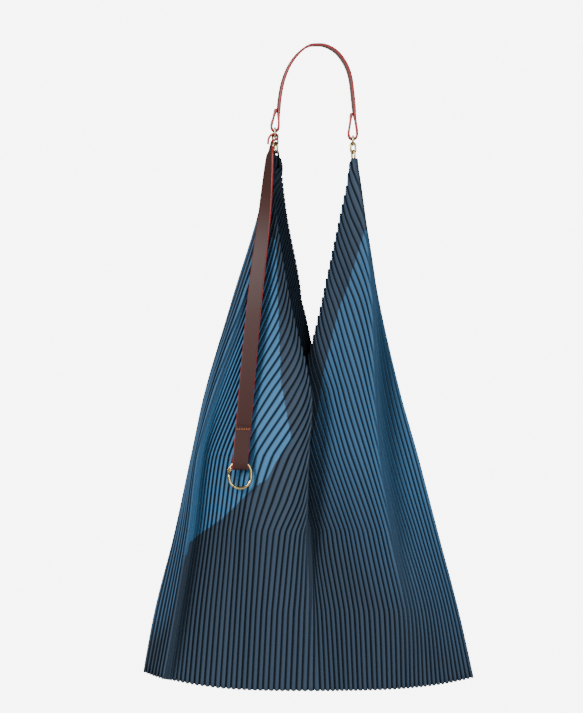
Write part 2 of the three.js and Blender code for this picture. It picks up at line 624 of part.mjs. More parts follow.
function wireSolid(path) {
  const sides = path.map(() => new THREE.Vector3(0, 1, 0));
  return toSolid(sweep(path, sides, [roundSection(gateRingWire / 2, gateRingSides)], false));
}

// A disc about the pin with a bar towards the wire, flat in the XZ plane.
function knucklePlate(pin, towards, middleY, thick) {
  const disc = new THREE.CylinderGeometry(knuckleRadius, knuckleRadius, thick, knuckleSides);
  const move = new THREE.Matrix4().makeTranslation(pin.x, middleY, pin.z);
  const along = towards.clone().sub(pin);
  const reach = along.length() + barPast;
  const bar = new THREE.BoxGeometry(reach, thick, gateRingWire * barShare);
  bar.translate(reach / 2, 0, 0);
  const turn = new THREE.Matrix4().makeRotationY(-Math.atan2(along.z, along.x));
  return toSolid(disc, move).add(toSolid(bar, move.clone().multiply(turn)));
}

function addGateRing() {
  const pin = ringPoint(true, hingeAngle);
  const clearAngle = THREE.MathUtils.radToDeg(gateClearOfPin / gateRingRadius);
  const seam = ringPoint(false, seamAngle);
  const face = THREE.MathUtils.degToRad(seamFace);
  const past = 14; // degrees that each wire runs past the seam before it is cut
  const block = gateRingWire * 3;

  const bodyStart = ringPoint(true, hingeAngle - clearAngle);
  const bodyPath = [
    ...arcPoints(true, hingeAngle - clearAngle, 0),
    ...arcPoints(false, 360, seamAngle - past),
  ];
  const halfSpace = (sign) => {
    const box = new THREE.BoxGeometry(block, block, block);
    box.translate(0, 0, (sign * (block - clearance)) / 2);
    const turn = new THREE.Matrix4().makeRotationY(-face + Math.PI / 2);
    return toSolid(box, new THREE.Matrix4().makeTranslation(seam.x, seam.y, seam.z).multiply(turn));
  };
  const pinShape = new THREE.CylinderGeometry(pinRadius, pinRadius, gateRingWire, pinSides);
  const holeRadius = pinRadius + clearance;
  const hole = new THREE.CylinderGeometry(holeRadius, holeRadius, gateRingWire * 2, pinSides);
  const atPin = new THREE.Matrix4().makeTranslation(pin.x, pin.y, pin.z);
  const body = wireSolid(bodyPath)
    .subtract(halfSpace(1))
    .add(knucklePlate(pin, bodyStart, 0, tongueThick))
    .add(toSolid(pinShape, atPin));

  const gateTop = pin.clone().add(new THREE.Vector3(gateTopShift, 0, -gateClearOfPin));
  const gatePath = [gateTop, ...arcPoints(false, 180, seamAngle + past)];
  const cheekThick = (gateRingWire - tongueThick) / 2 - clearance;
  const cheekMiddle = (gateRingWire - cheekThick) / 2;
  const gate = wireSolid(gatePath)
    .subtract(halfSpace(-1))
    .add(knucklePlate(pin, gateTop, cheekMiddle, cheekThick))
    .add(knucklePlate(pin, gateTop, -cheekMiddle, cheekThick))
    .subtract(toSolid(hole, atPin));

  const ring = new THREE.Group();
  ring.position.set(gateRingX, gateRingY, gateRingZ);
  bag.add(ring);
  addPiece("ring_body", toGeometry(body), gold, ring);
  addPiece("ring_gate", toGeometry(gate), gold, ring);
}

function addBagPanels() {
  addPiece("front_panel", pleatedPanel(frontPlace, frontMouthPitch, frontMouthDepth, 1), clothBlue);
  addPiece("back_panel", pleatedPanel(backPlace, backMouthPitch, backMouthDepth, -1), clothSlate);
}

addBagPanels();
addHandle();
const leftRingFoot = addStrapRing("left_strap_ring", handleLoopLeft);
const rightRingFoot = addStrapRing("right_strap_ring", handleLoopRight);
addChain("left", [handleLoopLeft[0], leftRingFoot], leftLinks, leftChainLean);
addChain("right", [handleLoopRight[0], rightRingFoot], rightLinks, rightChainLean);
addLongStrap(handleLoopLeft[0], leftRingFoot);
addGateRing();

export default bag;
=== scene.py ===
import math

import bpy
import numpy as np
from mathutils import Matrix, Vector


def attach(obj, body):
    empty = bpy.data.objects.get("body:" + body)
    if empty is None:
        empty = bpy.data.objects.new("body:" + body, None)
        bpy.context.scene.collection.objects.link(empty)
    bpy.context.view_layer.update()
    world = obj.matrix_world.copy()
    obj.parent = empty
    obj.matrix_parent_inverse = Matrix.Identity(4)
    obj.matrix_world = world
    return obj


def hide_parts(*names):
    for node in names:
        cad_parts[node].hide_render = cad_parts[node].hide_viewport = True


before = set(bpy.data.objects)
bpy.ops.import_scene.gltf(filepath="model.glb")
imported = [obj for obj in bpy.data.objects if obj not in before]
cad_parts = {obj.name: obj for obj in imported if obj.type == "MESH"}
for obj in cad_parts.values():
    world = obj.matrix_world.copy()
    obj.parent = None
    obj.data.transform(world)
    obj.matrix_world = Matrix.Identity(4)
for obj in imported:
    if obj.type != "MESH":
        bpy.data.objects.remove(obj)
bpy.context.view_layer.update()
print("stage: frame loaded")

mm = 0.001

# Camera, at the height of the middle of the photograph, level with the bag and far away.
camera = {
    "distance": 3400.0,
    "middleX": -26.9,
    "middleZ": -341.5,
    "framedHeight": 784.3,
    "sensor": 36.0,
}


def makeCamera():
    data = bpy.data.cameras.new("camera")
    data.sensor_width = camera["sensor"]
    data.lens = camera["sensor"] * camera["distance"] / camera["framedHeight"]
    data.clip_start = 0.1
    data.clip_end = 60
    made = bpy.data.objects.new("camera", data)
    bpy.context.scene.collection.objects.link(made)
    made.location = Vector((camera["middleX"], -camera["distance"], camera["middleZ"])) * mm
    made.rotation_euler = (math.pi / 2, 0, 0)
    bpy.context.scene.camera = made


makeCamera()


# Small helpers for meshes and materials.
def newObject(name, vertices, faces, materials=(), faceMaterials=None, smooth=True):
    mesh = bpy.data.meshes.new(name)
    places = np.asarray(vertices, dtype=float) * mm
    mesh.from_pydata([tuple(v) for v in places], [], [tuple(f) for f in faces])
    for material in materials:
        mesh.materials.append(material)
    if faceMaterials is not None:
        mesh.polygons.foreach_set("material_index", np.asarray(faceMaterials, dtype=np.int32))
    mesh.polygons.foreach_set("use_smooth", np.full(len(mesh.polygons), smooth))
    mesh.update()
    made = bpy.data.objects.new(name, mesh)
    bpy.context.scene.collection.objects.link(made)
    return made


def newMaterial(name, color, roughness, metallic=0.0, sheen=0.0):
    material = bpy.data.materials.new(name)
    material.use_nodes = True
    shader = material.node_tree.nodes["Principled BSDF"]
    shader.inputs["Base Color"].default_value = (*color, 1)
    shader.inputs["Roughness"].default_value = roughness
    shader.inputs["Metallic"].default_value = metallic
    shader.inputs["Sheen Weight"].default_value = sheen
    return material


def srgb(red, green, blue):
    def linear(value):
        share = value / 255
        return share / 12.92 if share <= 0.04045 else ((share + 0.055) / 1.055) ** 2.4

    return (linear(red), linear(green), linear(blue))


def addNode(material, kind, **inputs):
    node = material.node_tree.nodes.new(kind)
    for name, value in inputs.items():
        node.inputs[name].default_value = value
    return node


def link(material, fromNode, fromSocket, toNode, toSocket):
    material.node_tree.links.new(fromNode.outputs[fromSocket], toNode.inputs[toSocket])


# Nodes of a geometry tree, with a shorthand for its links.
def newTree(name, inputs):
    tree = bpy.data.node_groups.new(name, "GeometryNodeTree")
    identifiers = {}
    for key, kind in {"Geometry": "Geometry", **inputs}.items():
        socket = tree.interface.new_socket(key, in_out="INPUT", socket_type="NodeSocket" + kind)
        identifiers[key] = socket.identifier
    tree.interface.new_socket("Geometry", in_out="OUTPUT", socket_type="NodeSocketGeometry")
    return tree, tree.nodes.new("NodeGroupInput"), tree.nodes.new("NodeGroupOutput"), identifiers


def treeMaths(tree, operation, *values):
    node = tree.nodes.new("ShaderNodeMath")
    node.operation = operation
    for socket, value in zip(node.inputs, values):
        if isinstance(value, (int, float)):
            socket.default_value = value
        else:
            tree.links.new(value, socket)
    return node.outputs[0]


def namedValue(tree, name, kind):
    node = tree.nodes.new("GeometryNodeInputNamedAttribute")
    node.data_type = kind
    node.inputs["Name"].default_value = name
    return next(socket for socket in node.outputs if socket.name == "Attribute" and socket.enabled)


# Ends a tree with real meshes that have the material of its input.
def finishTree(tree, geometry, given, output):
    realize = tree.nodes.new("GeometryNodeRealizeInstances")
    paint = tree.nodes.new("GeometryNodeSetMaterial")
    tree.links.new(geometry, realize.inputs[0])
    tree.links.new(realize.outputs[0], paint.inputs["Geometry"])
    tree.links.new(given.outputs["Material"], paint.inputs["Material"])
    tree.links.new(paint.outputs[0], output.inputs[0])


# Runs a tree over an object and gives back its result as a plain object of the same name.
def runTree(source, treeParts, settings):
    tree, identifiers = treeParts
    modifier = source.modifiers.new("tree", "NODES")
    modifier.node_group = tree
    for key, value in settings.items():
        modifier[identifiers[key]] = value
    graph = bpy.context.evaluated_depsgraph_get()
    mesh = bpy.data.meshes.new_from_object(source.evaluated_get(graph))
    name = source.name
    source.modifiers.remove(modifier)
    bpy.data.objects.remove(source)
    mesh.polygons.foreach_set("use_smooth", np.full(len(mesh.polygons), True))
    mesh.update()
    made = bpy.data.objects.new(name, mesh)
    bpy.context.scene.collection.objects.link(made)
    return made


def addAttribute(mesh, name, values, kind="FLOAT"):
    attribute = mesh.attributes.new(name, kind, "POINT")
    key = "vector" if kind == "FLOAT_VECTOR" else "value"
    attribute.data.foreach_set(key, np.asarray(values, dtype=np.float32).ravel())


def smoothStep(value):
    share = np.clip(value, 0, 1)
    return share * share * (3 - 2 * share)


# The cloth of the two panels.
cloth = {
    "peakDrop": 116.6,
    "rightPeakLower": 6.6,
    "bagHeight": 592.0,
    "hemHalfWidth": 184.0,
    "bagCentreX": -6.6,
    "foldDepth": 34.0,
    "wall": 0.8,
    "pleats": 72,
    "pleatLeg": 4.4,
    "shallowestPleat": 2.6,
    "deepestPleat": 4.0,
    "frontMouthPitch": 10.2,
    "backMouthPitch": 5.6,
    "frontMouthDepth": 262.0,
    "backMouthDepth": 211.0,
    "peakSlope": 4.0,
    "shoulderDrop": 10.0,
    "shoulderPleats": 2.0,
    "serration": 2.9,
    "hemGap": 5.2,
    "hemShare": 0.15,
    "steepest": 1.6,
    "edgeRound": 2.7,
    "edgePleats": 1.2,
    "slopeReach": 0.3,
    "hemRiseLeft": 20.0,
    "hemRiseRight": 15.0,
    "stepsPerPleat": 8,
    "rows": 64,
    "crestAt": 0.75,
    "crestSoft": 0.07,
    "unevenDepth": 0.16,
    "wander": 0.35,
    "swayTurns": 7.0,
    "swayShift": 9.0,
    "edgePower": 0.8,
    # Painted shade at the foot of each pleat: how strongly it is darkened.
    "paintedGrooveShade": 0.95,
    "blue": srgb(62, 112, 152),
    "slate": srgb(50, 65, 82),
    # The near-black colour of the painted shade in the pleat feet.
    "paintedFoldShadeColor": srgb(6, 14, 24),
    "roughness": 0.62,
    "sheen": 0.03,
    "specular": 0.2,
}

# Folds of the bag, a row for each height, as a share of bagHeight. Each fold holds the pleat it follows,
# its place across as a share of hemHalfWidth and its place out as a share of foldDepth, forward negative.
# Front folds run leftEdge, leftRidge, leftValley, leftBelly, centreRidge, foldBack, pocket, centreValley,
# rightBelly, rightRidge, rightValley, rightEdge.
frontFolds = {
    0.0: ((0, -0.257, 0), (0.25, -0.242, -0.065), (0.5, -0.228, -0.08), (0.75, -0.21, -0.09),
          (1, -0.192, -0.09), (12, -0.15, 0.1), (36, 0, 0.3), (71, 0.245, -0.09),
          (71.25, 0.257, -0.09), (71.5, 0.27, -0.09), (71.75, 0.28, -0.07), (72, 0.29, 0)),
    0.024: ((0, -0.265, 0), (0.25, -0.252, -0.065), (0.5, -0.24, -0.085), (0.75, -0.226, -0.095),
            (1, -0.212, -0.1), (12, -0.15, 0.1), (36, 0, 0.3), (71, 0.24, -0.085),
            (71.25, 0.255, -0.085), (71.5, 0.27, -0.085), (71.75, 0.284, -0.07), (72, 0.294, 0)),
    0.117: ((0, -0.317, 0), (1.6, -0.287, -0.26), (2.4, -0.272, -0.25), (4, -0.242, -0.33),
            (6.4, -0.2, -0.42), (12, -0.15, 0.1), (36, -0.03, 0.3), (65.8, 0.18, -0.3),
            (68, 0.24, -0.35), (70, 0.314, -0.4), (71, 0.323, -0.22), (72, 0.33, 0)),
    0.275: ((0, -0.472, 0), (3, -0.418, -0.38), (5, -0.376, -0.28), (10, -0.263, -0.44),
            (15.5, -0.122, -0.7), (20, -0.1, -0.3), (36, -0.06, 0), (56.7, 0.072, -0.3),
            (61, 0.197, -0.44), (66.5, 0.362, -0.65), (68.5, 0.377, -0.28), (72, 0.412, 0)),
    0.442: ((0, -0.625, 0), (5, -0.58, -0.44), (8, -0.526, -0.25), (16, -0.347, -0.53), (25.2, 0, -1),
            (27.2, -0.012, -0.7), (36, -0.143, -0.4), (47, -0.042, -0.24), (55, 0.167, -0.47),
            (63, 0.38, -0.76), (65, 0.396, -0.3), (72, 0.538, 0)),
    0.561: ((0, -0.705, 0), (6, -0.675, -0.5), (10, -0.632, -0.15), (20, -0.394, -0.53),
            (30, -0.012, -0.94), (31.8, -0.022, -0.66), (36.7, -0.108, -0.38), (43.5, -0.028, -0.24),
            (52, 0.185, -0.47), (60, 0.406, -0.76), (62.5, 0.43, -0.3), (72, 0.646, 0)),
    0.703: ((0, -0.81, 0), (6, -0.735, -0.53), (10, -0.692, -0.1), (22, -0.412, -0.41),
            (35, -0.024, -0.7), (35.8, -0.018, -0.56), (36.5, -0.012, -0.42), (38, 0, -0.28),
            (47.5, 0.221, -0.45), (57, 0.466, -0.7), (60, 0.514, -0.3), (72, 0.765, 0)),
    0.851: ((0, -0.932, 0), (6, -0.816, -0.47), (10, -0.767, -0.06), (22, -0.442, -0.35),
            (35.5, -0.018, -0.5), (36, -0.003, -0.46), (36.5, 0.009, -0.42), (37.5, 0.03, -0.38),
            (46, 0.263, -0.44), (55, 0.526, -0.53), (59, 0.62, -0.32), (72, 0.89, 0)),
    1.0: ((0, -1.02, 0), (6, -0.903, -0.26), (10, -0.83, 0), (22, -0.472, -0.07), (35.5, -0.03, -0.07),
          (36, -0.012, -0.07), (36.5, 0.006, -0.07), (37.5, 0.045, -0.07), (46, 0.287, -0.07),
          (55, 0.547, -0.07), (59, 0.651, -0.07), (72, 1.0, 0)),
}
# Back folds run leftEdge, leftSide, leftLobe, leftCut, rightCut, rightLobe, rightSide, rightEdge.
backFolds = {
    0.0: ((0, -0.257, 0), (0.25, -0.24, 0.06), (0.5, -0.215, 0.07), (1, -0.18, 0.075),
          (71, 0.245, 0.09), (71.5, 0.268, 0.09), (71.75, 0.28, 0.07), (72, 0.29, 0)),
    0.024: ((0, -0.265, 0), (0.25, -0.245, 0.06), (0.5, -0.215, 0.075), (1, -0.17, 0.085),
            (71, 0.24, 0.085), (71.5, 0.268, 0.085), (71.75, 0.284, 0.07), (72, 0.294, 0)),
    0.117: ((0, -0.317, 0), (2, -0.287, 0.24), (6, -0.215, 0.35), (10.8, -0.134, 0.35),
            (61, 0.2, 0.35), (66, 0.25, 0.35), (70, 0.31, 0.24), (72, 0.33, 0)),
    0.275: ((0, -0.472, 0), (4, -0.4, 0.35), (14, -0.251, 0.5), (27.4, -0.048, 0.47),
            (44.6, 0.096, 0.47), (56, 0.25, 0.5), (67, 0.37, 0.35), (72, 0.412, 0)),
    0.442: ((0, -0.625, 0), (6, -0.538, 0.47), (18, -0.323, 0.62), (32, -0.072, 0.59),
            (40, 0.072, 0.59), (54, 0.287, 0.62), (64, 0.418, 0.47), (72, 0.538, 0)),
    0.561: ((0, -0.705, 0), (6, -0.62, 0.44), (18, -0.382, 0.68), (32, -0.084, 0.65),
            (40, 0.084, 0.65), (52, 0.323, 0.68), (62, 0.49, 0.5), (72, 0.646, 0)),
    0.703: ((0, -0.81, 0), (6, -0.717, 0.35), (18, -0.466, 0.56), (32, -0.108, 0.59),
            (40, 0.096, 0.59), (50, 0.323, 0.62), (60, 0.55, 0.47), (72, 0.765, 0)),
    0.851: ((0, -0.932, 0), (6, -0.816, 0.2), (18, -0.55, 0.38), (32, -0.12, 0.4), (40, 0.108, 0.4),
            (50, 0.382, 0.42), (59, 0.62, 0.35), (72, 0.89, 0)),
    1.0: ((0, -1.02, 0), (6, -0.903, 0.07), (18, -0.6, 0.07), (32, -0.14, 0.07), (40, 0.12, 0.07),
          (50, 0.4, 0.07), (59, 0.651, 0.07), (72, 1.0, 0)),
}


def hermite(start, end, slopeStart, slopeEnd, share):
    square = share * share
    cube = square * share
    return (
        (2 * cube - 3 * square + 1) * start
        + (cube - 2 * square + share) * slopeStart
        + (3 * square - 2 * cube) * end
        + (cube - square) * slopeEnd
    )


# The folds at each of several heights, as an array of height, fold and column.
def foldsAt(table, down):
    heights = np.array(list(table))
    values = np.array(list(table.values()), dtype=float)
    last = len(heights) - 1
    row = np.clip(np.searchsorted(heights, down) - 1, 0, last - 1)
    before = np.maximum(row - 1, 0)
    after = np.minimum(row + 2, last)
    span = heights[row + 1] - heights[row]
    share = np.clip((down - heights[row]) / span, 0, 1)[:, None, None]
    start, end = values[row], values[row + 1]
    slopeStart = (end - values[before]) * (span / (heights[row + 1] - heights[before]))[:, None, None]
    slopeEnd = (values[after] - start) * (span / (heights[after] - heights[row]))[:, None, None]
    smooth = hermite(start, end, slopeStart, slopeEnd, share)
    smooth[:, :, 0] = (start + (end - start) * share)[:, :, 0]
    return smooth


# A smooth value through the folds for one pleat at each height.
def throughFolds(folds, column, pleat, steady):
    positions = folds[:, :, 0]
    values = folds[:, :, column]
    last = positions.shape[1] - 1
    rises = np.diff(values, axis=1) / np.diff(positions, axis=1)
    left, right = rises[:, :-1], rises[:, 1:]
    if steady:
        total = left + right
        inner = np.where(left * right > 0, 2 * left * right / np.where(total == 0, 1, total), 0)
    else:
        inner = (left + right) / 2
    slopes = np.concatenate([rises[:, :1], inner, rises[:, -1:]], axis=1)
    index = np.clip((positions < pleat[:, None]).sum(axis=1) - 1, 0, last - 1)
    rows = np.arange(len(pleat))
    span = positions[rows, index + 1] - positions[rows, index]
    share = np.clip((pleat - positions[rows, index]) / span, 0, 1)
    return hermite(values[rows, index], values[rows, index + 1],
                   slopes[rows, index] * span, slopes[rows, index + 1] * span, share)


def roundEdge(pleat):
    share = np.clip(np.minimum(pleat, cloth["pleats"] - pleat) / cloth["edgePleats"], 0, 1)
    return np.sqrt(1 - (1 - share) ** 2)


def frontPlace(pleat, down):
    folds = foldsAt(frontFolds, down)
    across = throughFolds(folds, 1, pleat, True) * cloth["hemHalfWidth"]
    out = throughFolds(folds, 2, pleat, False) * cloth["foldDepth"] - roundEdge(pleat) * cloth["edgeRound"]
    return across, out


def backPlace(pleat, down):
    folds = foldsAt(backFolds, down)
    across = throughFolds(folds, 1, pleat, True) * cloth["hemHalfWidth"]
    out = throughFolds(folds, 2, pleat, False) * cloth["foldDepth"] + roundEdge(pleat) * cloth["edgeRound"]
    frontAcross, frontOut = frontPlace(pleat, down)
    aheadAcross, aheadOut = frontPlace(np.minimum(pleat + 0.5, cloth["pleats"]), down)
    behindAcross, behindOut = frontPlace(np.maximum(pleat - 0.5, 0), down)
    run = np.abs(aheadAcross - behindAcross)
    steep = np.hypot(run, aheadOut - behindOut) / np.maximum(run, 1e-6)
    apart = cloth["hemGap"] * np.minimum(steep, cloth["steepest"]) * roundEdge(pleat)
    closed = smoothStep((down - (1 - cloth["hemShare"])) / cloth["hemShare"])
    return across + (frontAcross - across) * closed, out + (frontOut + apart - out) * closed


def cutEdge(pleat, pitch, depth):
    inner = np.minimum(pleat, cloth["pleats"] - pleat)
    lower = np.where(pleat > cloth["pleats"] / 2, cloth["rightPeakLower"] * np.maximum(0, 1 - inner / 2), 0)
    past = np.maximum(0, inner - 1)
    shoulder = cloth["shoulderDrop"] * np.minimum(past / cloth["shoulderPleats"], 1)
    drop = cloth["peakSlope"] * np.minimum(inner, 1) + shoulder + pitch * past
    return np.minimum(depth, drop) + lower


def hemDrop(across):
    share = across / cloth["hemHalfWidth"]
    rise = np.where(share < 0, cloth["hemRiseLeft"], cloth["hemRiseRight"])
    return cloth["bagHeight"] - rise * np.abs(share) ** 3


# The rounded bumps of the cut edge, from -1 between two pleats to 1 in the middle of one.
def edgeBump(pleat):
    return 2 * np.abs(np.sin(pleat * math.pi)) ** cloth["edgePower"] - 1


# The print of the front, blue on slate. Each border is a closed outline of (X, Z) on the hanging bag.
printAreas = {
    "leftBlue": (
        (-68, -190), (-43, -213), (-41, -272), (-38.5, -334), (-36.5, -373), (-26, -428), (-24.5, -431),
        (-45, -459), (-54, -477), (-67, -485), (-103, -521), (-139, -546), (-148, -576), (-161, -637),
        (-172, -659), (-230, -664), (-230, -190),
    ),
    "rightBlue": (
        (52, -203), (34, -263), (24, -290), (14.3, -329), (6.6, -362), (3, -390), (-6, -440), (-6, -530),
        (54, -600), (153, -690), (230, -720), (230, -203),
    ),
    "sharp": 1.2,
    "stripSoft": 30.0,
    "stripPleats": 7,
    "stripShare": 0.55,
    "fadeSoft": 200.0,
    "rightShare": 0.62,
}


def insideOutline(outline, x, z):
    inside = np.zeros(len(x), dtype=bool)
    for (x1, z1), (x2, z2) in zip(outline, outline[1:] + outline[:1]):
        crosses = (z1 > z) != (z2 > z)
        where = x1 + (z - z1) * (x2 - x1) / np.where(z2 == z1, 1e-9, z2 - z1)
        inside ^= crosses & (x < where)
    return inside


# Where the blue starts and ends on each line of the cloth, how soft its foot is and how strong it is.
def printBorders(place, pleats):
    borders = []
    samples = 260
    for pleat in pleats:
        down = np.linspace(0, 1, samples)
        across, _ = place(np.full(samples, pleat), down)
        x = cloth["bagCentreX"] + across
        z = -cloth["peakDrop"] - down * cloth["bagHeight"]
        isLeft = pleat < cloth["pleats"] / 2
        inside = insideOutline(printAreas["leftBlue" if isLeft else "rightBlue"], x, z)
        top, foot = (z[inside][0], z[inside][-1]) if inside.any() else (0.0, 0.0)
        if pleat < printAreas["stripPleats"]:
            borders.append((top, foot, printAreas["stripSoft"], printAreas["stripShare"]))
        elif isLeft:
            borders.append((top, foot, printAreas["sharp"], 1.0))
        else:
            borders.append((top, foot, printAreas["fadeSoft"], printAreas["rightShare"]))
    return np.array(borders)


def makeClothMaterial():
    material = newMaterial("pleated_cloth", cloth["slate"], cloth["roughness"], sheen=cloth["sheen"])
    shader = material.node_tree.nodes["Principled BSDF"]
    shader.inputs["Specular IOR Level"].default_value = cloth["specular"]
    place = addNode(material, "ShaderNodeTexCoord")
    height = addNode(material, "ShaderNodeSeparateXYZ")
    link(material, place, "Object", height, "Vector")

    def attribute(name):
        node = addNode(material, "ShaderNodeAttribute")
        node.attribute_name = name
        return node

    def maths(operation, first, second, clampIt=False):
        node = addNode(material, "ShaderNodeMath")
        node.operation = operation
        node.use_clamp = clampIt
        for index, value in enumerate((first, second)):
            if isinstance(value, tuple):
                material.node_tree.links.new(value[0].outputs[value[1]], node.inputs[index])
            else:
                node.inputs[index].default_value = value
        return (node, "Value")

    z = (height, "Z")
    top = (attribute("blueTop"), "Fac")
    foot = (attribute("blueFoot"), "Fac")
    soft = (attribute("blueSoft"), "Fac")
    underTop = maths("DIVIDE", maths("SUBTRACT", top, z), printAreas["sharp"] * mm, True)
    aboveFoot = maths("DIVIDE", maths("SUBTRACT", z, foot), soft, True)
    inBlue = maths("MULTIPLY", underTop, aboveFoot)
    blue = maths("MULTIPLY", inBlue, (attribute("blueShare"), "Fac"), True)
    colors = addNode(material, "ShaderNodeMix")
    colors.data_type = "RGBA"
    colors.inputs[6].default_value = (*cloth["slate"], 1)
    colors.inputs[7].default_value = (*cloth["blue"], 1)
    material.node_tree.links.new(blue[0].outputs[blue[1]], colors.inputs[0])
    # Painted shade: the groove attribute mixes the colour towards near-black at the foot of each pleat.
    paintedFoldShadeMix = addNode(material, "ShaderNodeMix")
    paintedFoldShadeMix.data_type = "RGBA"
    paintedFoldShadeMix.inputs[7].default_value = (*cloth["paintedFoldShadeColor"], 1)
    material.node_tree.links.new(attribute("groove").outputs["Fac"], paintedFoldShadeMix.inputs[0])
    material.node_tree.links.new(colors.outputs[2], paintedFoldShadeMix.inputs[6])
    material.node_tree.links.new(paintedFoldShadeMix.outputs[2], shader.inputs["Base Color"])

    weave = addNode(material, "ShaderNodeTexNoise", Scale=900.0, Detail=2.0)
    link(material, place, "Object", weave, "Vector")
    bump = addNode(material, "ShaderNodeBump", Strength=0.12, Distance=0.0003)
    link(material, weave, "Fac", bump, "Height")
    link(material, bump, "Normal", shader, "Normal")
    return material


clothMaterial = makeClothMaterial()


# Painted shade in the folds: how strongly each line of the cloth is darkened, strongest at the foot of each
# pleat where little light reaches it.
def paintedGrooveShadeAt(pleats):
    phase = pleats - np.floor(pleats)
    return cloth["paintedGrooveShade"] * np.interp(phase, (0, 0.125, 0.25, 0.75, 0.875, 1), (1, 0.3, 0, 0, 1, 1))


# Lifts the cloth into pleats. The wave runs from -1 at a pleat's foot to 1 at its slightly rounded crest,
# which leans to one side.
def makePleatTree():
    inputs = {"Crest": "Float", "Softness": "Float", "Material": "Material"}
    tree, given, output, identifiers = newTree("pleats", inputs)
    crest, soft = given.outputs["Crest"], given.outputs["Softness"]
    phase = treeMaths(tree, "FRACT", namedValue(tree, "pleat", "FLOAT"))
    rising = treeMaths(tree, "DIVIDE", phase, crest)
    left = treeMaths(tree, "SUBTRACT", 1, phase)
    falling = treeMaths(tree, "DIVIDE", left, treeMaths(tree, "SUBTRACT", 1, crest))
    short = treeMaths(tree, "SUBTRACT", 1, treeMaths(tree, "MINIMUM", rising, falling))
    softSquare = treeMaths(tree, "MULTIPLY", soft, soft)
    bent = treeMaths(tree, "SQRT", treeMaths(tree, "MULTIPLY_ADD", short, short, softSquare))
    most = treeMaths(tree, "SQRT", treeMaths(tree, "ADD", softSquare, 1))
    above = treeMaths(tree, "SUBTRACT", bent, soft)
    rounded = treeMaths(tree, "DIVIDE", above, treeMaths(tree, "SUBTRACT", most, soft))
    wave = treeMaths(tree, "MULTIPLY_ADD", rounded, -2, 1)
    lift = treeMaths(tree, "MULTIPLY", wave, namedValue(tree, "lift", "FLOAT"))
    offset = tree.nodes.new("ShaderNodeVectorMath")
    offset.operation = "SCALE"
    tree.links.new(namedValue(tree, "outward", "FLOAT_VECTOR"), offset.inputs[0])
    tree.links.new(lift, offset.inputs["Scale"])
    move = tree.nodes.new("GeometryNodeSetPosition")
    tree.links.new(given.outputs["Geometry"], move.inputs["Geometry"])
    tree.links.new(offset.outputs[0], move.inputs["Offset"])
    finishTree(tree, move.outputs[0], given, output)
    return tree, identifiers


pleatTree = makePleatTree()


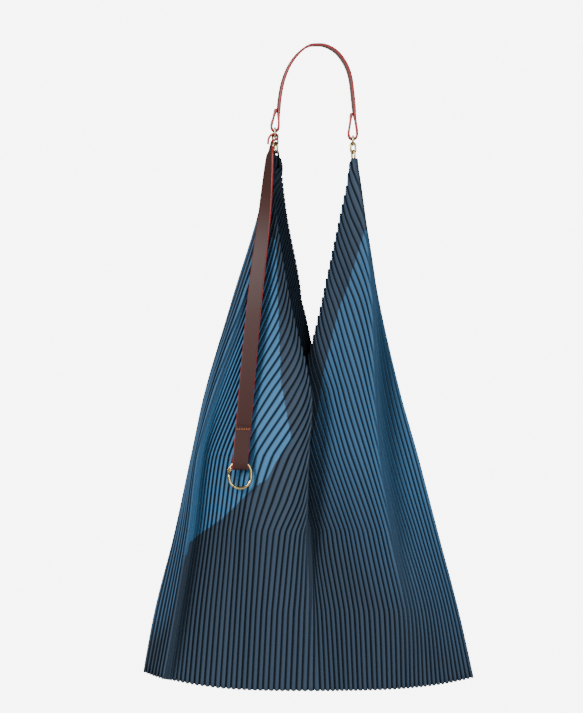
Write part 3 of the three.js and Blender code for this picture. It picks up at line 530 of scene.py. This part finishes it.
# A panel of cloth: a closed sheet along the folds, with a wall inside, that the tree lifts into pleats.
def makePanel(name, place, pitch, depth, facing, seed):
    rows = cloth["rows"]
    columns = cloth["pleats"] * cloth["stepsPerPleat"] + 1
    pleats = np.linspace(0, cloth["pleats"], columns)
    random = np.random.default_rng(seed)
    depthOf = 1 + cloth["unevenDepth"] * random.uniform(-1, 1, cloth["pleats"] + 1)
    swayOf = random.uniform(-1, 1, (cloth["pleats"] + 1, 2))
    outer = np.zeros((columns, rows, 3))
    outward = np.zeros((columns, rows, 3))
    lift = np.zeros((columns, rows))
    share = np.linspace(0, 1, rows)
    for column, pleat in enumerate(pleats):
        index = int(pleat)
        fromSeam = min(pleat, cloth["pleats"] - pleat)
        bump = float(edgeBump(pleat)) * cloth["serration"] / 2
        hemAcross, _ = place(np.array([pleat]), np.array([1.0]))
        top = float(cutEdge(np.array(pleat), pitch, depth)) - bump + cloth["serration"] / 2
        hem = float(hemDrop(hemAcross)[0]) + bump / 2
        drop = top + (hem - top) * share
        down = drop / cloth["bagHeight"]
        here = np.full(rows, pleat)
        lower = np.maximum(here - cloth["slopeReach"], 0)
        upper = np.minimum(here + cloth["slopeReach"], cloth["pleats"])
        beforeAcross, beforeOut = place(lower, down)
        afterAcross, afterOut = place(upper, down)
        slopeAcross = (afterAcross - beforeAcross) / (upper - lower)
        slopeOut = (afterOut - beforeOut) / (upper - lower)
        width = np.hypot(slopeAcross, slopeOut)
        outward[column, :, 0] = slopeOut / width * facing
        outward[column, :, 1] = -slopeAcross / width * facing
        if fromSeam == 0:
            outward[column] = (-1.0 if pleat == 0 else 1.0, 0.0, 0.0)
        pleatDepth = np.sqrt(np.maximum(cloth["pleatLeg"] ** 2 - (width / 2) ** 2, 0))
        pleatDepth = np.clip(pleatDepth, cloth["shallowestPleat"], cloth["deepestPleat"])
        lift[column] = pleatDepth / 2 * depthOf[index] * (0.5 if fromSeam < 0.5 else 1)
        wave = np.sin(share * cloth["swayTurns"] + swayOf[index, 1] * cloth["swayShift"])
        sway = swayOf[index, 0] * wave * cloth["wander"] * (fromSeam >= 1)
        across, out = place(here, down)
        middle = np.stack([cloth["bagCentreX"] + across, out, -cloth["peakDrop"] - drop], axis=1)
        outer[column] = middle + outward[column] * sway[:, None]
    inner = outer - outward * cloth["wall"]
    under = columns * rows
    corner = np.arange(under).reshape(columns, rows)
    a, b, c, d = corner[:-1, :-1], corner[:-1, 1:], corner[1:, 1:], corner[1:, :-1]
    outside = np.stack([a, b, c, d], axis=-1).reshape(-1, 4)
    inside = np.stack([a, d, c, b], axis=-1).reshape(-1, 4) + under

    def rim(line):
        return np.stack([line[:-1], line[1:], line[1:] + under, line[:-1] + under], axis=-1)

    rims = (rim(corner[:, 0]), rim(corner[:, -1])[:, ::-1], rim(corner[0])[:, ::-1], rim(corner[-1]))
    faces = np.concatenate([outside, inside, *rims])
    if facing < 0:
        faces = faces[:, ::-1]
    vertices = np.concatenate([outer.reshape(-1, 3), inner.reshape(-1, 3)])
    panel = newObject(name, vertices, faces.tolist())
    addAttribute(panel.data, "pleat", np.tile(np.repeat(pleats, rows), 2))
    addAttribute(panel.data, "lift", np.tile(lift.ravel(), 2) * mm)
    addAttribute(panel.data, "outward", np.tile(outward.reshape(-1, 3), (2, 1)), "FLOAT_VECTOR")
    settings = {"Crest": cloth["crestAt"], "Softness": cloth["crestSoft"], "Material": clothMaterial}
    panel = runTree(panel, pleatTree, settings)
    for key in ("pleat", "lift", "outward"):
        panel.data.attributes.remove(panel.data.attributes[key])
    borders = printBorders(place, pleats) if facing > 0 else np.tile([0.0, 0.0, 1.0, 0.0], (columns, 1))
    units = {"blueTop": mm, "blueFoot": mm, "blueSoft": mm, "blueShare": 1}
    for (key, unit), values in zip(units.items(), borders.T):
        addAttribute(panel.data, key, np.tile(np.repeat(values, rows), 2) * unit)
    # Painted shade: how much the material darkens each line at a pleat's foot.
    addAttribute(panel.data, "groove", np.tile(np.repeat(paintedGrooveShadeAt(pleats), rows), 2))
    return panel


# Flat area of a panel's cut in square metres.
def panelArea(place, pitch, depth):
    pleats = np.arange(cloth["pleats"]) + 0.5
    across, _ = place(pleats, np.ones(len(pleats)))
    lengths = hemDrop(across) - cutEdge(pleats, pitch, depth)
    return float(lengths.sum() * cloth["pleatLeg"] * 2) * mm * mm


def addPanel(name, node, place, pitch, depth, facing, seed):
    panel = makePanel(name, place, pitch, depth, facing, seed)
    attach(panel, "bag")
    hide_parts(node)
    area = panelArea(place, pitch, depth)


addPanel("front_cloth", "front_panel", frontPlace, cloth["frontMouthPitch"], cloth["frontMouthDepth"], 1, 3)
addPanel("back_cloth", "back_panel", backPlace, cloth["backMouthPitch"], cloth["backMouthDepth"], -1, 4)
print("stage: cloth made")

# Leather straps with painted edges.
straps = {
    "width": 17.0,
    "handleThick": 2.6,
    "longThick": 2.4,
    "tongueWidth": 6.0,
    "handle": srgb(104, 78, 72),
    "long": srgb(58, 27, 22),
    "edge": srgb(150, 36, 38),
    # Painted shade: the peak tabs get a near-black colour that stands in for the shadow they hang in.
    "tab": srgb(34, 28, 30),
    "roughness": 0.5,
    "edgeRoughness": 0.34,
    "specular": 0.3,
}


def makeLeather(name, color, roughness):
    material = newMaterial(name, color, roughness)
    shader = material.node_tree.nodes["Principled BSDF"]
    shader.inputs["Specular IOR Level"].default_value = straps["specular"]
    place = addNode(material, "ShaderNodeTexCoord")
    grain = addNode(material, "ShaderNodeTexVoronoi", Scale=1400.0)
    link(material, place, "Object", grain, "Vector")
    bump = addNode(material, "ShaderNodeBump", Strength=0.1, Distance=0.0002)
    link(material, grain, "Distance", bump, "Height")
    link(material, bump, "Normal", shader, "Normal")
    return material


handleLeather = makeLeather("handle_leather", straps["handle"], straps["roughness"])
longLeather = makeLeather("strap_leather", straps["long"], straps["roughness"])
# Painted shade: a near-black leather for the peak tabs, standing in for their shadow.
tabLeatherPaintedShade = makeLeather("tab_leather_painted_shade", straps["tab"], straps["roughness"])
edgePaint = newMaterial("edge_paint", straps["edge"], straps["edgeRoughness"])


# Points on a centripetal Catmull-Rom curve through the given ones, evenly apart.
def curveThrough(points, pieces):
    points = np.asarray(points, dtype=float)
    padded = np.vstack([2 * points[0] - points[1], points, 2 * points[-1] - points[-2]])
    fine = []
    for i in range(1, len(padded) - 2):
        p = padded[i - 1 : i + 3]
        knots = [0.0]
        for k in range(3):
            knots.append(knots[-1] + max(np.linalg.norm(p[k + 1] - p[k]) ** 0.5, 1e-4))
        t = np.linspace(knots[1], knots[2], 24, endpoint=False)[:, None]

        def blend(a, b, low, high):
            return a * (high - t) / (high - low) + b * (t - low) / (high - low)

        a1 = blend(p[0], p[1], knots[0], knots[1])
        a2 = blend(p[1], p[2], knots[1], knots[2])
        a3 = blend(p[2], p[3], knots[2], knots[3])
        b1 = blend(a1, a2, knots[0], knots[2])
        b2 = blend(a2, a3, knots[1], knots[3])
        fine.append(blend(b1, b2, knots[1], knots[2]))
    fine = np.vstack(fine + [points[-1:]])
    lengths = np.concatenate([[0], np.cumsum(np.linalg.norm(np.diff(fine, axis=0), axis=1))])
    wanted = np.linspace(0, lengths[-1], pieces + 1)
    return np.stack([np.interp(wanted, lengths, fine[:, k]) for k in range(fine.shape[1])], axis=1)


# Vertices and faces of a section carried along a path. sides give the section's first axis.
def sweep(path, sides, sections):
    path = np.asarray(path, dtype=float)
    along = np.gradient(path, axis=0)
    along /= np.linalg.norm(along, axis=1)[:, None]
    sides = np.asarray(sides, dtype=float)
    sides = sides - (sides * along).sum(axis=1)[:, None] * along
    sides /= np.linalg.norm(sides, axis=1)[:, None]
    ups = np.cross(along, sides)
    sections = np.asarray(sections, dtype=float)
    if sections.ndim == 2:
        sections = np.tile(sections, (len(path), 1, 1))
    vertices = path[:, None] + sections[:, :, :1] * sides[:, None] + sections[:, :, 1:] * ups[:, None]
    around = sections.shape[1]
    faces = []
    for i in range(len(path) - 1):
        j = i + 1
        for k in range(around):
            m = (k + 1) % around
            faces.append((i * around + k, i * around + m, j * around + m, j * around + k))
    faces.append(tuple(range(around))[::-1])
    faces.append(tuple((len(path) - 1) * around + k for k in range(around)))
    return vertices.reshape(-1, 3), faces


def roundSection(radius, sides):
    angles = (np.arange(sides) + 0.5) / sides * 2 * math.pi
    return np.stack([np.cos(angles), np.sin(angles)], axis=1) * radius


strapCorner = 5  # points on each rounded edge of a strap
faceInset = 0.7  # the flat of the leather starts this far inside the rounded edge
edgeBulge = 0.55  # how far the rounded edge stands out, as a share of half the thickness
edgeArc = 0.86 * math.pi  # the turn of the rounded edge


# A flat section with rounded edges, from the foot of the right edge round over the face to the left edge.
def strapSection(width, thick):
    points = []
    reach = thick / 2
    bulge = reach * edgeBulge
    for side in (1, -1):
        for k in range(strapCorner):
            angle = (k / (strapCorner - 1) - 0.5) * edgeArc
            across = width / 2 - bulge + bulge * math.cos(angle)
            points.append((side * across, side * reach * math.sin(angle) / math.sin(edgeArc / 2)))
        flat = width / 2 - bulge - min(faceInset, width / 8)
        points += [(side * flat, side * reach), (-side * flat, side * reach)]
    return np.array(points)


# 0 for the leather faces and 1 for the painted edges.
def strapMaterials(faceCount):
    half = strapCorner + 2
    marks = [1 if index % half < strapCorner - 1 else 0 for index in range(faceCount - 2)]
    return marks + [1, 1]


# The handle: across as a share of its half span, up as a share of its drop, the same route as its solid.
handle = {
    "halfSpan": 43.976,
    "drop": 100.0,
    "steps": 200,
    "twist": 8.0,
    "twistFrom": 84.0,
    "twistAll": 66.0,
}
handleShares = (
    (-1, -0.693), (-1.064, -0.792), (-1.116, -0.884), (-1.089, -0.923), (-1.025, -0.935),
    (-0.961, -0.923), (-0.934, -0.884), (-0.934, -0.704), (-0.891, -0.528), (-0.814, -0.374),
    (-0.668, -0.217), (-0.432, -0.077), (-0.182, 0.002), (0, 0.013), (0.227, 0.004), (0.511, -0.066),
    (0.736, -0.198), (0.85, -0.334), (0.923, -0.572), (0.959, -0.737), (1.027, -0.972), (1, -1.01),
    (0.925, -1.023), (0.85, -1.012), (0.816, -0.976), (0.85, -0.86), (0.891, -0.74),
)
handleRoute = [(across * handle["halfSpan"], up * handle["drop"]) for across, up in handleShares]
handleLoopLeft = handleRoute[4]
handleLoopRight = handleRoute[22]


# The legs are turned a little, so that their left faces show, and the loops are not.
def addHandle():
    path = curveThrough([(x, 0, z) for x, z in handleRoute], handle["steps"])
    turned = smoothStep((path[:, 2] + handle["twistFrom"]) / (handle["twistFrom"] - handle["twistAll"]))
    angles = np.radians(handle["twist"]) * turned
    sides = np.stack([-np.sin(angles), np.cos(angles), np.zeros(len(path))], axis=1)
    vertices, faces = sweep(path, sides, strapSection(straps["width"], straps["handleThick"]))
    marks = strapMaterials(len(faces))
    made = newObject("handle_leather", vertices, faces, [handleLeather, edgePaint], marks)
    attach(made, "bag")
    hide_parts("handle_strap")


# The long strap. The tongue's rows lie about the foot of the left ring: across and up as shares of its
# bend, and out as a share of foldDepth. The rest has across as a share of hemHalfWidth, out as a share of
# foldDepth, down as a share of its drop, the turn of its width in degrees and its width as a share.
longStrap = {
    "drop": 464.0,
    "tongueBend": 2.9,
    "tongueTurn": -90.0,
    "stepsPerRow": 8,
}
tongueRows = (
    (-2.65, -0.191, -2.88), (-2.38, -0.191, -0.77), (-1.46, -0.191, 0.54), (-0.19, -0.191, 1.04),
    (0.85, -0.191, 0.58), (1.04, -0.191, -0.35), (0.31, -0.191, -1.08), (-1.04, -0.197, -1.85),
)
longStrapRows = (
    (-0.2685, -0.25, 0.2349, -88, 0.47), (-0.2712, -0.371, 0.2457, -78, 0.71),
    (-0.275, -0.512, 0.2629, -66, 1), (-0.288, -0.565, 0.3233, -50, 1),
    (-0.3071, -0.618, 0.4052, -34, 1), (-0.3402, -0.706, 0.5172, -20, 1),
    (-0.3728, -0.8, 0.6379, -13, 1), (-0.4027, -0.841, 0.7672, -9, 1),
    (-0.4228, -0.826, 0.8621, -4, 1), (-0.4326, -0.803, 0.9052, -1, 1),
    (-0.4424, -0.776, 0.9483, 0, 1), (-0.4495, -0.75, 0.9806, 0, 1), (-0.4511, -0.771, 0.994, 0, 1),
    (-0.4516, -0.85, 1, 0, 1), (-0.4511, -0.929, 0.994, 0, 1), (-0.4495, -0.95, 0.9806, 0, 1),
    (-0.4424, -0.921, 0.9483, 0, 1), (-0.4342, -0.885, 0.9138, 0, 1), (-0.431, -0.882, 0.8998, -1, 1),
)


# X, Y, Z, turn and width of the long strap at each row.
def longStrapRoute(footX, footZ):
    bend, depth = longStrap["tongueBend"], cloth["foldDepth"]
    tongue = (longStrap["tongueTurn"], straps["tongueWidth"])
    rows = []
    for across, out, up in tongueRows:
        rows.append((footX + across * bend, out * depth, footZ + up * bend, *tongue))
    for across, out, down, turn, wide in longStrapRows:
        x, z = across * cloth["hemHalfWidth"], -down * longStrap["drop"]
        rows.append((x, out * depth, z, turn, wide * straps["width"]))
    return np.array(rows)


def addLongStrap(footX, footZ):
    rows = longStrapRoute(footX, footZ)
    steps = longStrap["stepsPerRow"]
    wanted = np.linspace(0, len(rows) - 1, (len(rows) - 1) * steps + 1)
    # Catmull-Rom through the rows, the same curve as in the solid.
    index = np.clip(wanted.astype(int), 0, len(rows) - 2)
    share = (wanted - index)[:, None]
    at = np.vstack([2 * rows[0] - rows[1], rows, 2 * rows[-1] - rows[-2]])
    p0, p1, p2, p3 = at[index], at[index + 1], at[index + 2], at[index + 3]
    path = hermite(p1, p2, (p2 - p0) / 2, (p3 - p1) / 2, share)
    turns = np.radians(np.interp(wanted, np.arange(len(rows)), rows[:, 3]))
    widths = np.interp(wanted, np.arange(len(rows)), rows[:, 4])
    sides = np.stack([np.cos(turns), np.sin(turns), np.zeros(len(turns))], axis=1)
    sections = [strapSection(width, straps["longThick"]) for width in widths]
    vertices, faces = sweep(path[:, :3], sides, sections)
    made = newObject("hanging_strap", vertices, faces, [longLeather, edgePaint], strapMaterials(len(faces)))
    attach(made, "bag")
    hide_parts("long_strap")


addHandle()
print("stage: handle made")

# Metal: strap rings, chain links and the gate ring.
metal = {
    "linkWire": 2.2,
    "linkWireShown": 2.4,
    "wireSides": 14,
    "linkLength": 13.5,
    "linkWidth": 8.2,
    "linkTurn": 30.0,
    "leftLean": -0.082,
    "rightLean": -0.035,
    "leftLinks": 2,
    "rightLinks": 2,
    "clearance": 0.3,
    "ringCorner": 2.6,
    "ringSlack": 3.0,
    "arcPieces": 14,
    "cornerPieces": 8,
    "tabPieces": 12,
    "tabThick": 1.4,
    "tabWidth": 3.0,
    "tabLength": 17.0,
    "color": srgb(206, 178, 120),
    "roughness": 0.16,
}
goldMaterial = newMaterial("pale_gold", metal["color"], metal["roughness"], metallic=1.0)


# A round wire along a path of edges.
def makeWireTree():
    inputs = {"Radius": "Float", "Sides": "Int", "Material": "Material"}
    tree, given, output, identifiers = newTree("wire", inputs)
    curve = tree.nodes.new("GeometryNodeMeshToCurve")
    profile = tree.nodes.new("GeometryNodeCurvePrimitiveCircle")
    tube = tree.nodes.new("GeometryNodeCurveToMesh")
    tree.links.new(given.outputs["Geometry"], curve.inputs["Mesh"])
    tree.links.new(given.outputs["Radius"], profile.inputs["Radius"])
    tree.links.new(given.outputs["Sides"], profile.inputs["Resolution"])
    tree.links.new(curve.outputs["Curve"], tube.inputs["Curve"])
    tree.links.new(profile.outputs["Curve"], tube.inputs["Profile Curve"])
    finishTree(tree, tube.outputs["Mesh"], given, output)
    return tree, identifiers


wireTree = makeWireTree()


def addWireLoop(name, path, radius, node):
    mesh = bpy.data.meshes.new(name)
    edges = [(k, (k + 1) % len(path)) for k in range(len(path))]
    mesh.from_pydata([tuple(p) for p in np.asarray(path) * mm], edges, [])
    source = bpy.data.objects.new(name, mesh)
    bpy.context.scene.collection.objects.link(source)
    settings = {"Radius": radius * mm, "Sides": metal["wireSides"], "Material": goldMaterial}
    made = runTree(source, wireTree, settings)
    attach(made, "bag")
    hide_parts(node)


def addRiding(name, vertices, faces, material, body, node, slotName):
    made = newObject(name, vertices, faces, [material])
    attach(made, body)
    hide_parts(node)


def makeStrapRing(name, node, loopBottom):
    wire = metal["linkWire"]
    inner = straps["handleThick"] + straps["longThick"] + wire / 2 + metal["clearance"] * 3
    height = inner + wire
    length = straps["width"] + metal["ringSlack"] + wire
    corner = metal["ringCorner"]
    path = []
    for along, up, start in ((1, 1, 0), (-1, 1, 1), (-1, -1, 2), (1, -1, 3)):
        for k in range(metal["cornerPieces"] + 1):
            angle = (start + k / metal["cornerPieces"]) * math.pi / 2
            path.append((0, along * (length / 2 - corner) + corner * math.cos(angle),
                         up * (height / 2 - corner) + corner * math.sin(angle)))
    topWire = loopBottom[1] + straps["handleThick"] / 2 + metal["clearance"] + wire / 2
    place = np.array([loopBottom[0], 0, topWire - height / 2])
    addWireLoop(name, np.array(path) + place, wire / 2, node)
    return topWire - height


def ovalPath(halfLength, radius, arcPieces):
    path = []
    for end in (1, -1):
        for k in range(arcPieces + 1):
            angle = k / arcPieces * math.pi + (math.pi if end < 0 else 0)
            path.append((radius * math.cos(angle), 0, end * halfLength + radius * math.sin(angle)))
    return np.array(path)


def makeChain(side, top, count, lean):
    wire = metal["linkWire"]
    radius = (metal["linkWidth"] - wire) / 2
    path = ovalPath((metal["linkLength"] - metal["linkWidth"]) / 2, radius, metal["arcPieces"])
    wireGap = wire + metal["clearance"]
    pitch = metal["linkLength"] - wire - wireGap
    firstMiddle = wireGap - (metal["linkLength"] - wire) / 2
    chain = Matrix.Translation((top[0], 0, top[1])) @ Matrix.Rotation(lean, 4, "Y")

    def placed(points, drop, turn):
        matrix = np.array(chain @ Matrix.Translation((0, 0, drop)) @ Matrix.Rotation(turn, 4, "Z"))
        return np.asarray(points) @ matrix[:3, :3].T + matrix[:3, 3], matrix[:3, :3] @ np.array([0, 1.0, 0])

    turn = math.radians(metal["linkTurn"])
    for k in range(count):
        points, _ = placed(path, firstMiddle - k * pitch, turn - (k % 2) * math.pi / 2)
        shown = metal["linkWireShown"] / 2
        addWireLoop(f"{side}_link_{k + 1}", points, shown, f"{side}_chain_link_{k + 1}")
    lastWire = firstMiddle - (count - 1) * pitch - (metal["linkLength"] - wire) / 2
    archRise = radius - math.sqrt(radius**2 - (metal["tabWidth"] / 2) ** 2)
    bend = wire / 2 + metal["clearance"] + archRise + metal["tabThick"] / 2
    route = [(-bend, 0, -metal["tabLength"])]
    for k in range(metal["tabPieces"] + 1):
        angle = math.pi - k / metal["tabPieces"] * math.pi
        route.append((bend * math.cos(angle), 0, bend * math.sin(angle)))
    route.append((bend, 0, -metal["tabLength"]))
    points, sideways = placed(route, lastWire, turn + (count % 2) * math.pi / 2)
    section = strapSection(metal["tabWidth"], metal["tabThick"])
    vertices, faces = sweep(points, np.tile(sideways, (len(points), 1)), section)
    # The tab takes the near-black leather of painted shade.
    addRiding(f"{side}_tab", vertices, faces, tabLeatherPaintedShade, "bag", f"{side}_peak_tab", "leather")


leftFoot = makeStrapRing("left_ring", "left_strap_ring", handleLoopLeft)
rightFoot = makeStrapRing("right_ring", "right_strap_ring", handleLoopRight)
makeChain("left", (handleLoopLeft[0], leftFoot), metal["leftLinks"], metal["leftLean"])
makeChain("right", (handleLoopRight[0], rightFoot), metal["rightLinks"], metal["rightLean"])
addLongStrap(handleLoopLeft[0], leftFoot)

# The gate ring: an oval of wire with a hinge at the upper left and a slanting seam at the lower left.
gateRing = {
    "x": -0.4511 * cloth["hemHalfWidth"],
    "y": -0.85 * cloth["foldDepth"],
    "z": -longStrap["drop"] - 6.6,
    "wire": 3.3,
    "radius": 12.0,
    "straight": 5.2,
    "hingeAngle": 168.0,
    "seamAngle": 235.0,
    "knuckleRadius": 2.2,
    "barrelRadius": 1.9,
    "bodyStart": 10.0,
    "collarStart": 9.0,
    "collarShare": 1.12,
    "seamGap": 1.0,
    "barrelHalf": 0.36,
    "knuckleAt": 0.7,
    "knuckleHalf": 0.3,
    "gateTop": (-0.3, 0, -2.4),
    "endShare": 0.86,
    "grooveAngle": 318.0,
    "grooveShare": 0.8,
}


def ringPoint(upper, degrees):
    angle = math.radians(degrees)
    middle = (1 if upper else -1) * gateRing["straight"] / 2
    return np.array([gateRing["x"] + gateRing["radius"] * math.cos(angle), gateRing["y"],
                     gateRing["z"] + middle + gateRing["radius"] * math.sin(angle)])


def arcPoints(upper, start, end):
    pieces = max(1, round(abs(end - start) / 3))
    return [ringPoint(upper, start + (end - start) * k / pieces) for k in range(pieces + 1)]


# A round wire whose ends are slightly rounded off, thinner by a groove where it passes near one point.
def wireWithEnds(path, radius, groove=None, sides=16):
    path = np.asarray(path, dtype=float)
    shares = np.ones(len(path))
    shares[[0, -1]] = gateRing["endShare"]
    if groove is not None:
        shares[np.argmin(np.linalg.norm(path - groove, axis=1))] = gateRing["grooveShare"]
    sections = [roundSection(radius * share, sides) for share in shares]
    return sweep(path, np.tile([0.0, 1.0, 0.0], (len(path), 1)), sections)


# A short cylinder along Y with a rounded rim.
def barrel(centre, radius, halfWidth, sides=24):
    rim = ((0.72, 1.0), (0.92, 0.94), (1.0, 0.8))  # radius and height of the rim, as shares
    profile = rim + tuple((wide, -high) for wide, high in reversed(rim))
    vertices = []
    for wide, share in profile:
        ring = radius * wide
        for k in range(sides):
            angle = k / sides * 2 * math.pi
            vertices.append((centre[0] + ring * math.cos(angle), centre[1] + share * halfWidth,
                             centre[2] + ring * math.sin(angle)))
    faces = []
    for i in range(len(profile) - 1):
        for k in range(sides):
            m = (k + 1) % sides
            faces.append((i * sides + k, i * sides + m, (i + 1) * sides + m, (i + 1) * sides + k))
    faces.append(tuple(range(sides))[::-1])
    faces.append(tuple((len(profile) - 1) * sides + k for k in range(sides)))
    return np.array(vertices), faces


def joined(parts):
    vertices = []
    faces = []
    count = 0
    for partVertices, partFaces in parts:
        vertices.append(np.asarray(partVertices))
        faces.extend(tuple(index + count for index in face) for face in partFaces)
        count += len(partVertices)
    return np.vstack(vertices), faces


def makeGateRing():
    pin = ringPoint(True, gateRing["hingeAngle"])
    radius = gateRing["wire"] / 2
    collar = radius * gateRing["collarShare"]
    bodyPath = arcPoints(True, gateRing["hingeAngle"] - gateRing["bodyStart"], 0)
    bodyPath += arcPoints(False, 360, gateRing["seamAngle"] + gateRing["seamGap"])
    body = joined([
        wireWithEnds(bodyPath, radius, ringPoint(False, gateRing["grooveAngle"])),
        barrel(pin, gateRing["barrelRadius"], radius * gateRing["barrelHalf"]),
        barrel(ringPoint(True, gateRing["hingeAngle"] - gateRing["collarStart"]), collar, collar),
    ])
    addRiding("ring_wire", *body, goldMaterial, "bag", "ring_body", "gold")
    gatePath = [pin + np.array(gateRing["gateTop"])]
    gatePath += arcPoints(False, 180, gateRing["seamAngle"] - gateRing["seamGap"])
    aside = np.array([0, radius * gateRing["knuckleAt"], 0])
    knuckle = (gateRing["knuckleRadius"], radius * gateRing["knuckleHalf"])
    gate = joined([
        wireWithEnds(gatePath, radius),
        barrel(pin + aside, *knuckle),
        barrel(pin - aside, *knuckle),
    ])
    addRiding("ring_gate_wire", *gate, goldMaterial, "gate", "ring_gate", "gold")


makeGateRing()
print("stage: metal made")

# Stitches. Each row runs from one place to another: X, Y, Z twice.
stitching = {
    "spacing": 2.55,
    "length": 1.9,
    "radius": 0.36,
    "color": srgb(214, 122, 62),
    "roughness": 0.6,
    "rows": (
        ((-85.9, -31.55, -420.6), (-73.1, -31.5, -420.6)),
        ((-43.0, -5.1, -72.6), (-43.0, 5.1, -72.6)),
        ((-46.0, -5.1, -74.6), (-46.0, 5.1, -74.6)),
        ((36.2, -5.1, -77.6), (36.2, 5.1, -77.6)),
        ((43.6, -5.1, -77.6), (43.6, 5.1, -77.6)),
    ),
}


def makeStitchTree():
    inputs = {"Spacing": "Float", "Length": "Float", "Radius": "Float", "Material": "Material"}
    tree, given, output, identifiers = newTree("stitches", inputs)
    curve = tree.nodes.new("GeometryNodeMeshToCurve")
    spread = tree.nodes.new("GeometryNodeResampleCurve")
    spread.mode = "LENGTH"
    thread = tree.nodes.new("GeometryNodeMeshIcoSphere")
    thread.inputs["Radius"].default_value = 1.0
    thread.inputs["Subdivisions"].default_value = 3
    size = tree.nodes.new("ShaderNodeCombineXYZ")
    tangent = tree.nodes.new("GeometryNodeInputTangent")
    turn = tree.nodes.new("FunctionNodeAlignRotationToVector")
    turn.axis = "Z"
    place = tree.nodes.new("GeometryNodeInstanceOnPoints")
    tree.links.new(given.outputs["Geometry"], curve.inputs["Mesh"])
    tree.links.new(curve.outputs["Curve"], spread.inputs["Curve"])
    tree.links.new(given.outputs["Spacing"], spread.inputs["Length"])
    tree.links.new(given.outputs["Radius"], size.inputs["X"])
    tree.links.new(given.outputs["Radius"], size.inputs["Y"])
    tree.links.new(treeMaths(tree, "MULTIPLY", given.outputs["Length"], 0.5), size.inputs["Z"])
    tree.links.new(tangent.outputs["Tangent"], turn.inputs["Vector"])
    tree.links.new(spread.outputs["Curve"], place.inputs["Points"])
    tree.links.new(thread.outputs["Mesh"], place.inputs["Instance"])
    tree.links.new(turn.outputs["Rotation"], place.inputs["Rotation"])
    tree.links.new(size.outputs["Vector"], place.inputs["Scale"])
    finishTree(tree, place.outputs["Instances"], given, output)
    return tree, identifiers


def makeStitches():
    ends = [end for row in stitching["rows"] for end in row]
    mesh = bpy.data.meshes.new("stitches")
    edges = [(2 * k, 2 * k + 1) for k in range(len(stitching["rows"]))]
    mesh.from_pydata([tuple(np.array(end) * mm) for end in ends], edges, [])
    source = bpy.data.objects.new("stitches", mesh)
    bpy.context.scene.collection.objects.link(source)
    settings = {key.capitalize(): stitching[key] * mm for key in ("spacing", "length", "radius")}
    settings["Material"] = newMaterial("thread", stitching["color"], stitching["roughness"])
    made = runTree(source, makeStitchTree(), settings)
    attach(made, "bag")


makeStitches()
print("stage: stitches made")

# Stage and light. The world is bright where it is seen and dim where it lights the bag.
studio = {
    "floorZ": -1250.0,
    "floorHalf": 1700.0,
    "floorColor": (0.9, 0.905, 0.895),
    "floorRoughness": 0.9,
    "worldSeen": (0.955, 0.965, 0.95),
    "worldSeenStrength": 7.5,
    "worldLight": (0.9, 0.96, 1.0),
    "worldLightStrength": 0.28,
    "keyPlace": (-2.2, -2.3, 0.9),
    "keyPower": 128.0,
    "keySize": (1.0, 1.6),
    "fillPlace": (1.0, -3.1, 0.1),
    "fillPower": 42.0,
    "fillSize": (1.6, 1.8),
    "aim": (-0.03, 0, -0.4),
}


def makeStage():
    half = studio["floorHalf"]
    vertices = [(x * half, y * half, studio["floorZ"]) for x, y in ((-1, -1), (1, -1), (1, 1), (-1, 1))]
    paint = newMaterial("floor_paint", studio["floorColor"], studio["floorRoughness"])
    newObject("floor", vertices, [(0, 1, 2, 3)], [paint])


def addLight(name):
    data = bpy.data.lights.new(name, "AREA")
    data.energy = studio[name + "Power"]
    data.shape = "RECTANGLE"
    data.size, data.size_y = studio[name + "Size"]
    made = bpy.data.objects.new(name, data)
    bpy.context.scene.collection.objects.link(made)
    made.location = studio[name + "Place"]
    made.rotation_mode = "QUATERNION"
    made.rotation_quaternion = (Vector(studio["aim"]) - made.location).to_track_quat("-Z", "Y")


def makeWorld():
    world = bpy.data.worlds.new("studio")
    world.use_nodes = True
    nodes = world.node_tree.nodes
    links = world.node_tree.links
    light = nodes["Background"]
    light.inputs["Color"].default_value = (*studio["worldLight"], 1)
    light.inputs["Strength"].default_value = studio["worldLightStrength"]
    seen = nodes.new("ShaderNodeBackground")
    seen.inputs["Color"].default_value = (*studio["worldSeen"], 1)
    seen.inputs["Strength"].default_value = studio["worldSeenStrength"]
    ray = nodes.new("ShaderNodeLightPath")
    both = nodes.new("ShaderNodeMixShader")
    links.new(ray.outputs["Is Camera Ray"], both.inputs[0])
    links.new(light.outputs[0], both.inputs[1])
    links.new(seen.outputs[0], both.inputs[2])
    links.new(both.outputs[0], nodes["World Output"].inputs["Surface"])
    bpy.context.scene.world = world


makeStage()
makeWorld()
addLight("key")
addLight("fill")
print("stage: light made")
